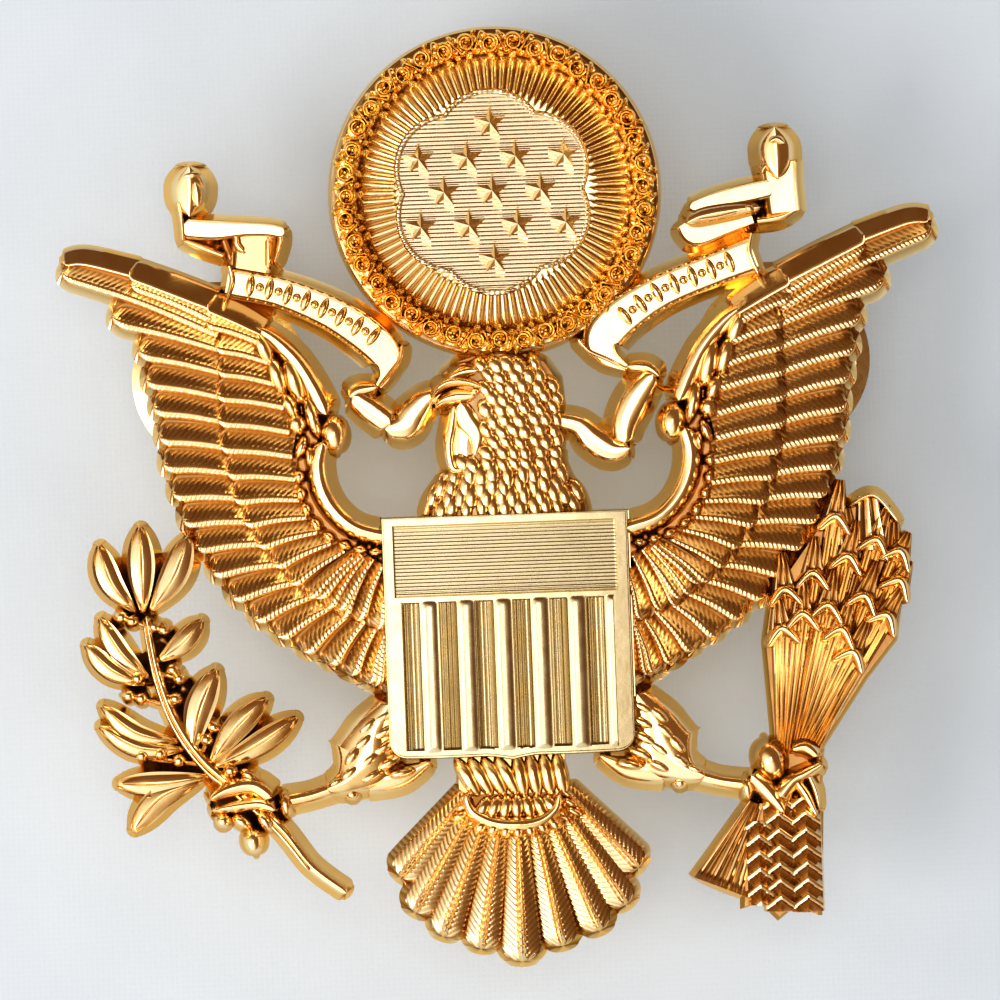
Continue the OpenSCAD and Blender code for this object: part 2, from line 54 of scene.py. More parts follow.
bpy.context.scene.view_settings.view_transform = "Standard"


# Studio light. A strong soft panel low on the left, a weaker one ahead, one behind for the clutches,
# and a room that is pale ahead, below and to the left and dark above and to the right.
badge_middle = np.array([0, 0, -0.005])


def panel(name, at, size, watts, colour):
    """A square soft light of the given size in metres, turned to face the badge's middle."""
    lamp = bpy.data.lights.new(name, "AREA")
    lamp.shape, lamp.size, lamp.energy, lamp.color = "SQUARE", size, watts, colour
    holder = bpy.data.objects.new(name, lamp)
    back = np.array(at) - badge_middle
    back /= np.linalg.norm(back)
    side = np.cross((0, 0.1, 1), back)
    side /= np.linalg.norm(side)
    turn = np.column_stack([side, np.cross(back, side), back])
    holder.matrix_world = Matrix(np.vstack([np.column_stack([turn, at]), (0, 0, 0, 1)]).tolist())
    bpy.context.scene.collection.objects.link(holder)


panel("key_panel", (-0.34, -0.30, -0.16), 0.26, 1.45, (1, 0.985, 0.96))
panel("front_panel", (-0.03, -0.62, 0.03), 0.26, 0.62, (1, 0.99, 0.97))
panel("back_panel", (0.10, 0.45, 0.20), 0.30, 0.60, (1, 0.99, 0.97))


def feed(made, inputs):
    """Gives a node's inputs their values, or links them to the output sockets given instead."""
    for name, value in dict(inputs).items():
        if isinstance(value, bpy.types.NodeSocket):
            made.id_data.links.new(value, made.inputs[name])
        else:
            made.inputs[name].default_value = value
    return made


def shader(tree, kind, inputs=(), **settings):
    """A new shader node of a kind, with its settings made first and then its inputs fed."""
    made = tree.nodes.new("ShaderNode" + kind)
    for name, value in settings.items():
        setattr(made, name, value)
    return feed(made, inputs)


def ramp(tree, fac, stops):
    """The colour of a ramp through (position, colour) stops, fed by a value."""
    made = shader(tree, "ValToRGB", {"Fac": fac})
    points = made.color_ramp.elements
    for point, (at, colour) in zip((points[0], points[1]), (stops[0], stops[-1])):
        point.position, point.color = at, (*colour, 1)
    for at, colour in stops[1:-1]:
        points.new(at).color = (*colour, 1)
    return made.outputs["Color"]


world = bpy.data.worlds.new("room")
bpy.context.scene.world = world
world.use_nodes = True
room = world.node_tree
room.nodes.clear()
room_way = shader(room, "TexCoord")
room_dot = shader(room, "VectorMath", {0: room_way.outputs["Generated"], 1: (-0.55, -0.45, -0.50)},
                  operation="DOT_PRODUCT")
room_tone = ramp(room, room_dot.outputs["Value"], [
    (0.0, (0.19, 0.08, 0.022)), (0.22, (0.33, 0.155, 0.052)), (0.38, (0.72, 0.54, 0.31)),
    (0.52, (1.18, 1.10, 0.96)), (0.80, (1.58, 1.58, 1.72))])
room_seen = shader(room, "Background", {"Color": (0.69, 0.72, 0.75, 1)})
room_lit = shader(room, "Background", {"Color": room_tone})
room_ray = shader(room, "LightPath")
room_mix = shader(room, "MixShader", {"Fac": room_ray.outputs["Is Glossy Ray"], 1: room_seen.outputs[0],
                                      2: room_lit.outputs[0]})
shader(room, "OutputWorld", {"Surface": room_mix.outputs[0]})


# Backdrop. A sheet of pale cotton hangs just behind the clutches. From behind it is see-through, so
# that the badge's back can be looked at.
def net(k):
    """Quads between the neighbours of a grid of point numbers, as rows of four."""
    return np.stack([k[:-1, :-1], k[1:, :-1], k[1:, 1:], k[:-1, 1:]], -1).reshape(-1, 4)


def sheet_of_cotton(wide, at_reach, cells):
    """A square grid in the XZ plane whose reach is two slow waves crossed, 0.3 mm high."""
    step = np.linspace(-wide / 2, wide / 2, cells)
    x, z = np.meshgrid(step, step, indexing="ij")
    y = at_reach + 0.0003 * np.sin(x * 90) * np.sin(z * 70 + 1)
    points = np.stack([x, y, z - 0.0085], -1).reshape(-1, 3)
    return points, net(np.arange(cells * cells).reshape(cells, cells))


cotton_points, cotton_quads = sheet_of_cotton(0.30, 0.0098, 60)
cotton_mesh = bpy.data.meshes.new("cotton_backdrop")
cotton_mesh.from_pydata(cotton_points.tolist(), [], cotton_quads.tolist())
cotton_mesh.shade_smooth()
cotton = bpy.data.objects.new("cotton_backdrop", cotton_mesh)
bpy.context.scene.collection.objects.link(cotton)
cotton_look = bpy.data.materials.new("pale_cotton")
cotton_look.use_nodes = True
tree = cotton_look.node_tree
place = shader(tree, "TexCoord").outputs["Object"]
threads = [shader(tree, "TexWave", {"Scale": 900, "Distortion": 1.5, "Detail Scale": 300, "Vector": place},
                  bands_direction=way) for way in ("X", "Z")]
weave = shader(tree, "Math", {0: threads[0].outputs["Fac"], 1: threads[1].outputs["Fac"]},
               operation="MULTIPLY")
cloud = shader(tree, "TexNoise", {"Scale": 60, "Detail": 3, "Vector": place})
bump = shader(tree, "Bump", {"Strength": 0.25, "Distance": 0.0001, "Height": weave.outputs["Value"]})
shade = feed(tree.nodes["Principled BSDF"], {
    "Roughness": 0.85, "Specular IOR Level": 0.15, "Normal": bump.outputs["Normal"],
    "Base Color": ramp(tree, cloud.outputs["Fac"], [(0.3, (0.63, 0.655, 0.68)), (0.7, (0.68, 0.705, 0.73))])})
clear = shader(tree, "BsdfTransparent")
side, ray = shader(tree, "NewGeometry"), shader(tree, "LightPath")
either = shader(tree, "Math", {0: side.outputs["Backfacing"], 1: ray.outputs["Is Shadow Ray"]},
                operation="MAXIMUM")
see_through = shader(tree, "MixShader", {"Fac": either.outputs["Value"], 1: shade.outputs["BSDF"],
                                         2: clear.outputs["BSDF"]})
feed(tree.nodes["Material Output"], {"Surface": see_through.outputs["Shader"]})
cotton_mesh.materials.append(cotton_look)


# Wings. Struck in brass and gilt: a row of long flight feathers, a row of shorter ones over their
# roots, each with a beaded lower edge and slanting barbs, and a rolled front edge with smooth scales.
def course(points, count):
    """Evenly spaced points on a smooth curve through the given ones. Each span is the cubic
    (2b + (c-a)u + (2a-5b+4c-d)u^2 + (3b-a-3c+d)u^3) / 2. Further columns are carried along."""
    p = np.asarray(points, float)
    pad = np.vstack([p[:1], p, p[-1:]])
    u = np.linspace(0, 1, 12, endpoint=False)[None, :, None]
    a, b, c, d = (pad[k:len(pad) - 3 + k, None] for k in range(4))
    fine = (2 * b + (c - a) * u + (2 * a - 5 * b + 4 * c - d) * u**2
            + (3 * b - a - 3 * c + d) * u**3) / 2
    fine = np.vstack([fine.reshape(-1, p.shape[1]), p[-1:]])
    run = np.r_[0, np.cumsum(np.hypot(*np.diff(fine[:, :2], axis=0).T))]
    at = np.linspace(0, run[-1], count)
    return np.column_stack([np.interp(at, run, column) for column in fine.T]), run[-1]


def rim_of(k):
    """The point numbers round the outside of a grid, in order."""
    return np.r_[k[:-1, 0], k[-1, :-1], k[:0:-1, -1], k[0, :0:-1]]


def struck(path, half, crown, v=None, skirt=0.4, pinch=0.6, blunt=0.0):
    """A strip of relief as a closed shell in millimetres. Point (i, j) lies v_j half_i to the side of
    path_i at depth crown_ij. The rim falls to the back plane at sqrt(half^2 + 2 R skirt + skirt^2),
    R being the widest half nearby, within a share blunt of the length; each end is half an ellipse."""
    path = np.asarray(path, float)[:, :2]
    n, m = len(path), crown.shape[1]
    crown = np.broadcast_to(crown, (n, m))
    half = np.broadcast_to(half, n)
    v = np.linspace(-1, 1, m) if v is None else v
    along = np.gradient(path, axis=0)
    along /= np.linalg.norm(along, axis=1)[:, None]
    across = np.column_stack([-along[:, 1], along[:, 0]])
    grid = np.zeros((n + 2, m + 2, 3))
    top = path[:, None] + (half[:, None] * v)[..., None] * across[:, None]
    grid[1:-1, 1:-1] = np.stack([top[..., 0], -crown, top[..., 1]], -1)
    near = np.arange(n)[None, :] + np.linspace(-blunt, blunt, 7)[:, None] * n
    widest = np.max(np.interp(near, np.arange(n), half), 0)
    foot = np.sqrt(half**2 + 2 * widest * skirt + skirt**2)
    for column, way in ((0, -1), (-1, 1)):
        grid[1:-1, column, ::2] = path + way * foot[:, None] * across
    turn = np.linspace(-1.4, 1.4, m + 2)[:, None]
    for row, way in ((0, -1), (-1, 1)):
        grid[row, :, ::2] = (path[row] + way * skirt * np.cos(turn) * along[row]
                             + (foot[row] - (1 - pinch) * 0.3 * skirt) * np.sin(turn) * across[row])
    k = np.arange((n + 2) * (m + 2)).reshape(n + 2, m + 2)
    return grid.reshape(-1, 3), net(k), [rim_of(k)[::-1]]


def slab(outline, depth, skirt=0.4):
    """A flat plate as a closed shell: the outline at its depth, the same loop pushed out along its
    own normals by skirt at the back plane, a wall between them, and a face on each."""
    p = np.asarray(outline, float)
    turn = np.roll(p, -1, 0) - np.roll(p, 1, 0)
    if np.sum(p[:, 0] * np.roll(p[:, 1], -1) - np.roll(p[:, 0], -1) * p[:, 1]) < 0:
        p, turn = p[::-1], -turn[::-1]
    out = np.column_stack([turn[:, 1], -turn[:, 0]])
    out /= np.linalg.norm(out, axis=1)[:, None]
    q = p + skirt * out
    n = len(p)
    points = np.vstack([np.column_stack([p[:, 0], np.full(n, -depth), p[:, 1]]),
                        np.column_stack([q[:, 0], np.zeros(n), q[:, 1]])])
    k = np.arange(n)
    nxt = np.roll(k, -1)
    quads = np.stack([k, k + n, nxt + n, nxt], -1)
    return points, quads, [k, (k + n)[::-1]]


def with_painted_shade(shell, sunk):
    """The shell with a share of painted shade for each point, or one share for all: dark colour
    painted where shade falls, in grooves, gaps and hollows and under other parts."""
    share = np.pad(sunk, 1, mode="edge").ravel() if np.ndim(sunk) == 2 else sunk
    return (*shell[:3], share * np.ones(len(shell[0])))


def mirrored(shell):
    """The shell with X turned round, and its faces with it."""
    points, quads, rest = shell[:3]
    return (points * (-1, 1, 1), quads[:, ::-1], [f[::-1] for f in rest], *shell[3:])


def bowed(shell, fall, start=0.0):
    """The shell made shallower away from the middle: depth d becomes d - fall (|x| - start) d / 2."""
    points = shell[0].copy()
    points[:, 1] *= 1 - fall * np.clip(np.abs(points[:, 0]) - start, 0, None) / 2
    return (points, *shell[1:])


def piece(name, shells, look, nodes, crease=42):
    """Puts closed shells, given in millimetres, into one mesh that stands for CAD nodes. No two
    backs share a plane: each piece's first shell lies 0.002 further in than the piece's before,
    the others' 0.1 to 0.3 inside it."""
    level, golden, nothing = 0.002 * len(bpy.data.meshes), 0.618, 1e-6
    for k, shell in enumerate(shells):
        if shell[0][:, 1].max() < nothing:
            inside = 0.1 + 0.2 * (golden * k % 1) if k else 0
            shell[0][shell[0][:, 1] > -nothing, 1] = -level - inside
    start = np.cumsum([0] + [len(s[0]) for s in shells])
    faces = []
    for shell, k in zip(shells, start):
        faces += (shell[1] + k).tolist() + [(face + k).tolist() for face in shell[2]]
    mesh = bpy.data.meshes.new(name)
    mesh.from_pydata((np.vstack([s[0] for s in shells]) * 0.001).tolist(), [], faces)
    mesh.shade_smooth()
    mesh.set_sharp_from_angle(angle=np.radians(crease))
    # Each point's painted shade share goes on the mesh, kept only where the point lies deeper than 0.3 mm.
    sunk = np.concatenate([(s[3] if len(s) > 3 else 0.0) * (s[0][:, 1] < -0.3) for s in shells])
    mesh.attributes.new("sunk", "FLOAT", "POINT").data.foreach_set("value", sunk)
    mesh.materials.append(look)
    made = bpy.data.objects.new(name, mesh)
    bpy.context.scene.collection.objects.link(made)
    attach(made, "badge")
    if nodes:
        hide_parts(*nodes)


def struck_piece(node, shells):
    """One region of the struck eagle, which stands for the CAD node of that name."""
    piece(node + "_struck", shells, polished_gold, [node])


def round_end(u, share, least=0.06):
    """Half width of a strip whose last share of length closes in a half circle."""
    return np.maximum(np.sqrt(np.clip(1 - np.clip((u - 1 + share) / share, 0, 1)**2, 0, 1)), least)


# Feather cross-section, upper edge to lower: a groove, a slope, a beaded ridge, a drop
feather_v = np.r_[np.linspace(-1, -0.7, 3), np.linspace(-0.58, 0.2, 9), np.linspace(0.3, 1, 9)]
feather_s = (feather_v + 1) / 2


def feather(root, tip, half_root, half_tip, low, high, bow=0.12, bead=0.30, barb=0.38, reach=0.16):
    """A flight feather. Across it the depth runs from low in the groove, up a slope, to a ridge at
    high. Barbs are a saw tooth of (length - width) on the slope, beads half sines on the ridge."""
    root, tip = np.array(root, float), np.array(tip, float)
    run = tip - root
    bend = bow * np.array([-run[1], run[0]]) / np.linalg.norm(run) * (1 if run[0] > 0 else -1)
    path, length = course([root, root + 0.5 * run + bend, tip], max(int(np.linalg.norm(run) / 0.065), 20))
    u = np.linspace(0, 1, len(path))[:, None]
    half = (half_root + (half_tip - half_root) * u[:, 0]) * round_end(u[:, 0], reach)
    s = feather_s[None, :]
    depth = low + (high - low) * np.interp(s, [0, 0.12, 0.16, 0.60, 0.67, 0.78, 0.90, 1],
                                           [0.10, 0, 0.05, 0.78, 0.98, 1.04, 0.98, -0.25])
    wide = 2 * half[:, None]
    slope = np.clip((s - 0.16) / 0.08, 0, 1) * np.clip((0.66 - s) / 0.06, 0, 1)
    tooth = np.abs(((u * length - 0.9 * s * wide) / barb) % 1 - 0.5) * 2
    ridge = np.clip((s - 0.60) / 0.06, 0, 1) * np.clip((0.96 - s) / 0.05, 0, 1)
    beads = np.abs(np.sin(np.pi * (u * length - 0.5 * s * wide) / bead))
    depth = depth + 0.045 * (tooth - 0.5) * slope + 0.06 * (beads - 0.5) * ridge
    depth = depth - (high - low) * 0.6 * (1 - round_end(u, reach, 0))
    # Painted shade: heaviest in the groove along the upper edge, about half on the slope, none on the ridge,
    # some on the lower drop; more in the valleys between barbs and between beads.
    dark = np.interp(s, [0, 0.30, 0.44, 0.62, 0.68, 0.93, 1], [1.0, 0.85, 0.48, 0.38, 0, 0, 0.4])
    dark = dark + slope * 0.55 * (0.5 - tooth) + ridge * 0.25 * (0.6 - beads)
    shell = struck(path, half, np.maximum(depth, 0.4), feather_v, skirt=0.45, blunt=reach)
    return with_painted_shade(shell, np.clip(dark, 0, 1))


def oval(centre, along, long, wide, low, high, lean=0.0, n=13, m=9, skirt=0.25, painted_shade_strength=0.65):
    """A smooth scale: a strip whose half width is an ellipse and whose depth is a dome,
    sqrt(1 - w^2) sqrt(1 - 0.92 v^2), tipped by lean along its length."""
    centre, along = np.array(centre, float), np.array(along, float)
    along /= np.linalg.norm(along)
    w = -np.cos(np.linspace(0.02, 0.98, n) * np.pi)
    path = centre + (w * long / 2)[:, None] * along
    half = wide / 2 * np.sqrt(1 - w**2)
    v = np.linspace(-1, 1, m)[None, :]
    dome = np.sqrt(np.clip(1 - w[:, None]**2, 0, 1)) * np.sqrt(np.clip(1 - 0.92 * v**2, 0, 1))
    shell = struck(path, half, low + (high - low) * dome + lean * w[:, None], skirt=skirt, pinch=0.3)
    # Painted shade round the scale's edge, fading to none towards its crown, at the given strength.
    return with_painted_shade(shell, painted_shade_strength * np.clip(1 - 1.45 * dome, 0, 1))


def tube(points, count, low, high, flat=1.0, m=13, skirt=0.4, ends=0.0):
    """A rounded bar along [x, z, width] points: depth low + (high - low) sqrt(1 - 0.97 |v|^(2 flat))."""
    path = course(points, count)[0]
    u = np.linspace(0, 1, count)
    v = np.linspace(-1, 1, m)[None, :]
    half = path[:, 2] / 2
    if ends:
        half = half * round_end(u, ends, 0.1) * round_end(1 - u, ends, 0.1)
    swell = np.sqrt(np.clip(1 - np.abs(v)**(2 * flat) * 0.97, 0, 1))
    return struck(path, half, low + (high - low) * swell, skirt=skirt, blunt=ends)


wing_tips = [
    [28.0, 7.6], [25.0, 4.4], [23.4, 2.2], [23.0, 0.3], [22.6, -1.5], [22.3, -3.4], [22.1, -5.2],
    [21.6, -7.1], [21.0, -8.9], [20.3, -10.6], [19.3, -12.3], [18.1, -14.0], [16.7, -15.5],
    [15.2, -16.7], [13.6, -17.8], [12.0, -18.7], [10.6, -19.5], [9.4, -20.1]]
wing_mids = [
    [18.2, 3.9], [18.4, 2.3], [18.4, 0.8], [18.5, -0.8], [18.5, -2.4], [18.4, -4.1], [18.1, -5.8],
    [17.7, -7.5], [17.1, -9.1], [16.3, -10.6], [15.3, -12.0], [14.3, -13.3], [13.2, -14.3],
    [12.0, -15.1], [11.0, -15.8], [10.0, -16.4], [9.2, -16.9], [8.6, -17.4]]
wing_roots = [
    [15.5, 2.6], [14.9, 1.4], [14.5, 0.0], [14.0, -1.5], [13.7, -3.1], [13.6, -4.7], [13.5, -6.2],
    [13.3, -7.6], [12.9, -8.8], [12.3, -9.8], [11.5, -10.6], [10.7, -11.2], [10.0, -11.6],
    [9.4, -11.8], [8.9, -12.0]]


def row_of_feathers(roots, tips, low, high, overlap=0.58, widest=1.0):
    """Feathers from roots to tips. A feather's half width at each end is overlap times the distance
    between its neighbours' ends, halved."""
    roots, tips = np.array(roots), np.array(tips)
    gap = [np.linalg.norm(np.gradient(ends, axis=0), axis=1) for ends in (roots, tips)]
    return [feather(r, t, min(overlap * a, widest), min(overlap * b, widest), low, high)
            for r, t, a, b in zip(roots, tips, *gap)]


def front_edge(points, low, high, count):
    """The wall along the wing's front: its outer side slopes from low up to high, then levels."""
    path = course(points, count)[0]
    v = np.linspace(-1, 1, 11)[None, :]
    depth = low + (high - low) * np.clip((1 - v) / 1.75, 0, 1)
    half = path[:, 2] / 2 * round_end(1 - np.linspace(0, 1, count), 0.06, 0.3)
    # Painted shade: none along the high edge, rising to half over the slope down to low.
    dark = np.interp(v, [-1, -0.8, -0.6, 1], [0.0, 0.0, 0.40, 0.50]) * np.ones((count, 1))
    return with_painted_shade(struck(path, half, depth, skirt=0.3), dark)


# Smooth scales between the feathers and the rolled edge: centre, direction, length, width
wing_scales = [
    [(-15.3, 1.8), (0.45, -1), 2.7, 1.15], [(-14.5, 0.0), (0.35, -1), 2.7, 1.2],
    [(-13.4, -0.4), (0.30, -1), 3.4, 1.25], [(-13.7, -2.0), (0.5, -1), 2.0, 1.0],
    [(-13.3, -3.2), (0.2, -1), 1.6, 1.3], [(-12.3, -2.8), (0.25, -1), 3.0, 1.0],
    [(-13.1, -4.7), (-0.4, -1), 1.8, 0.8], [(-12.6, -5.3), (-0.1, -1), 1.6, 0.6],
    [(-13.3, -6.6), (-0.1, -1), 1.1, 0.8], [(-13.2, -7.7), (0.2, -1), 1.1, 0.75],
    [(-12.9, -8.7), (0.4, -1), 1.1, 0.75], [(-12.3, -9.7), (0.6, -1), 1.2, 0.75],
    [(-11.5, -10.5), (1, -0.7), 1.1, 0.7], [(-10.5, -11.1), (1, -0.4), 1.1, 0.7],
    [(-9.5, -11.4), (1, -0.2), 1.1, 0.7], [(-8.5, -11.6), (1, 0), 1.1, 0.7]]


def left_wing_shells():
    """The left wing: bed, outer and inner feathers, the front edge, the arc, and the scales."""
    flip = np.array([-1, 1])
    tips, mids, roots = (np.array(p) * flip for p in (wing_tips, wing_mids, wing_roots))
    bed = np.vstack([mids, [[-7.9, -17.6], [-7.9, -10.8], [-9.8, -10.2], [-11.5, -8], [-12, -5],
                            [-12.3, -2.0], [-14, 1.0], [-15.6, 3.0]]])
    # The bed seen between the feathers carries heavy painted shade.
    shells = [with_painted_shade(slab(bed, 1.25, skirt=0.1), 0.9)]
    shells += row_of_feathers(mids[1:] * 0.965, tips[1:], 1.25, 1.95)
    shells += row_of_feathers(roots[1:], mids[1:15], 1.80, 2.50)
    inner = [((-9.6, -11.6), (-12.6, -14.4)), ((-8.9, -11.9), (-11.3, -15.3)),
             ((-8.3, -12.3), (-10.0, -16.0)), ((-7.9, -13.2), (-8.7, -16.6))]
    shells += [feather(foot, tip, 0.45, 0.85, 2.0, 2.7, reach=0.22) for foot, tip in inner]
    shells += [
        feather((-8.2, -16.0), (-9.0, -20.3), 0.7, 0.8, 1.2, 1.9),
        feather((-7.9, -16.2), (-8.1, -20.9), 0.5, 0.6, 1.1, 1.8),
        feather((-18.0, 3.3), (-28.15, 7.35), 0.95, 0.78, 1.35, 2.05, bow=0.25, reach=0.08),
        feather((-18.2, 4.1), (-23.7, 6.55), 0.85, 0.75, 1.9, 2.4, reach=0.12),
        feather((-15.3, 2.7), (-18.9, 3.9), 0.95, 0.85, 2.0, 2.75, reach=0.15),
        front_edge([[-28.1, 8.0, 0.9], [-26.6, 8.15, 1.1], [-23.3, 7.25, 1.2]], 1.5, 2.25, 40),
        front_edge([[-23.7, 7.25, 1.3], [-21.0, 6.15, 1.4], [-18.3, 5.0, 1.4]], 1.7, 2.65, 40),
        front_edge([[-18.7, 4.95, 1.3], [-17.0, 4.2, 1.4], [-15.2, 3.2, 1.2]], 1.9, 2.95, 30),
        tube([[-15.7, 3.15, 1.0], [-14.5, 2.3, 1.3], [-13.2, 0.9, 1.5], [-12.2, -0.8, 1.6],
              [-11.4, -2.6, 1.7]], 50, 1.2, 2.8, ends=0.1),
        oval((-10.95, -3.9), (0.1, -1), 2.6, 1.7, 1.5, 3.1, n=25, m=17),
        tube([[-11.7, -4.4, 1.3], [-12.05, -5.8, 1.5], [-11.85, -7.4, 1.55], [-11.05, -8.9, 1.5],
              [-9.7, -10.05, 1.5], [-7.7, -10.65, 1.5]], 80, 1.3, 2.95, ends=0.04)]
    shells += [oval(*scale, 1.5, 2.95, lean=-0.15, n=15, m=9) for scale in wing_scales]
    return [bowed(shell, 0.022, 9.0) for shell in shells]


def raised_wing(shell):
    """The shell lifted by 0.045 of its distance beyond 10 mm, as the right wing is cast."""
    points = shell[0] + np.outer(0.045 * np.clip(np.abs(shell[0][:, 0]) - 10, 0, None), (0, 0, 1))
    return (points, *shell[1:])


def skin_group():
    """Shared finish of cast and plated metal. Tone is a slow noise, Haze a finer one, and Height
    the sum of both with fine tumbling marks."""
    group = bpy.data.node_groups.new("plated_skin", "ShaderNodeTree")
    for name, low in (("Tone Scale", 90.0), ("Mark Scale", 900.0)):
        group.interface.new_socket(name, in_out="INPUT", socket_type="NodeSocketFloat").default_value = low
    for name in ("Tone", "Haze", "Height"):
        group.interface.new_socket(name, in_out="OUTPUT", socket_type="NodeSocketFloat")
    given, out = group.nodes.new("NodeGroupInput"), group.nodes.new("NodeGroupOutput")
    at = shader(group, "TexCoord").outputs["Object"]
    slow, fine = (shader(group, "TexNoise", {"Vector": at, "Scale": given.outputs[scale], "Detail": detail})
                  for scale, detail in (("Tone Scale", 3), ("Mark Scale", 4)))
    total = shader(group, "Math", {0: slow.outputs["Fac"], 1: fine.outputs["Fac"]}, operation="ADD")
    feed(out, {"Tone": slow.outputs["Fac"], "Haze": fine.outputs["Fac"], "Height": total.outputs["Value"]})
    return group


plated_skin = skin_group()


def metal(name, dark, light, shine, haze, bump, tone_scale=90.0, mark_scale=900.0):
    """Plated metal. Base Color runs from dark to light and Roughness from shine to shine + haze
    over the skin's noises, and its height makes a bump of the given distance in metres. Each
    point's painted shade share mixes the colour towards dark brown and raises the roughness."""
    made = bpy.data.materials.new(name)
    made.use_nodes = True
    tree = made.node_tree
    painted_shade_colour, painted_shade_haze = np.array([0.30, 0.17, 0.07]), 0.22
    skin = shader(tree, "Group", {"Tone Scale": tone_scale, "Mark Scale": mark_scale}, node_tree=plated_skin)
    gloss = shader(tree, "MapRange", {"Value": skin.outputs["Haze"], "From Min": 0.35, "From Max": 0.7,
                                      "To Min": shine, "To Max": shine + haze})
    lumps = shader(tree, "Bump", {"Height": skin.outputs["Height"], "Distance": bump, "Strength": 0.6})
    sunk = shader(tree, "Attribute", attribute_name="sunk").outputs["Fac"]
    # Painted shade: the colour is mixed towards dark brown by each point's painted shade share, and the
    # roughness raised with it.
    painted_shade_mix = shader(tree, "Mix", {"Factor": sunk, "B": (*(painted_shade_colour * dark), 1),
                                  "A": ramp(tree, skin.outputs["Tone"], [(0.35, dark), (0.65, light)])},
                    data_type="RGBA")
    matte = shader(tree, "Math", {0: sunk, 1: 4.0}, operation="POWER")
    rough = shader(tree, "Math", {0: matte.outputs["Value"], 1: painted_shade_haze, 2: gloss.outputs["Result"]},
                   operation="MULTIPLY_ADD")
    feed(tree.nodes["Principled BSDF"], {
        "Metallic": 1.0, "Specular Tint": (*dark, 1), "Base Color": painted_shade_mix.outputs["Result"],
        "Roughness": rough.outputs["Value"], "Normal": lumps.outputs["Normal"]})
    return made


polished_gold = metal("polished_gold", (0.93, 0.66, 0.31), (1.0, 0.77, 0.42), 0.12, 0.10, 0.00003)
left = left_wing_shells()
struck_piece("left_wing", left)
struck_piece("right_wing", [mirrored(raised_wing(s)) for s in left])


# Ribbon. Two halves of one rolled band, smooth and thick, each ending in a ball above and running
# into the beak and behind the neck below. The flat stretch of each carries a row of small studs.
def band(points, count, low=1.2, high=2.3, rim=0.16, ends=0.0):
    """A flat band with a rounded rim each side: depth is low at the very edge, high + rim along
    |v| = 0.86, and level at high between."""
    path = course(points, count)[0]
    v = np.r_[np.linspace(-1, -0.72, 5), np.linspace(-0.6, 0.6, 5), np.linspace(0.72, 1, 5)][None, :]
    across = np.interp(np.abs(v), [0, 0.68, 0.76, 0.86, 0.94, 1], [high, high, high, high + rim, high, low])
    half = path[:, 2] / 2
    if ends:
        u = np.linspace(0, 1, count)
        half = half * round_end(u, ends, 0.2) * round_end(1 - u, ends, 0.2)
    # Painted shade: light over the flat, heaviest in the groove inside each rim, none on the rims.
    flat = np.interp(np.abs(v), [0, 0.7, 0.76, 0.82, 1], [0.22, 0.22, 0.6, 0, 0]) * np.ones((count, 1))
    return with_painted_shade(struck(path, half, across, v[0], skirt=0.45), flat)


def roll(base, fold):
    """A rolled end: a round dome, and a narrower second turn standing on it, as [x, z, width]
    lines with their highest depths."""
    # The second turn carries a light painted shade.
    return [tube(base[0], 50, 1.0, base[1], flat=0.9, m=25, ends=0.42, skirt=0.4),
            with_painted_shade(tube(fold[0], 50, base[1] - 0.5, fold[1], m=13, ends=0.4, skirt=0.05), 0.15)]


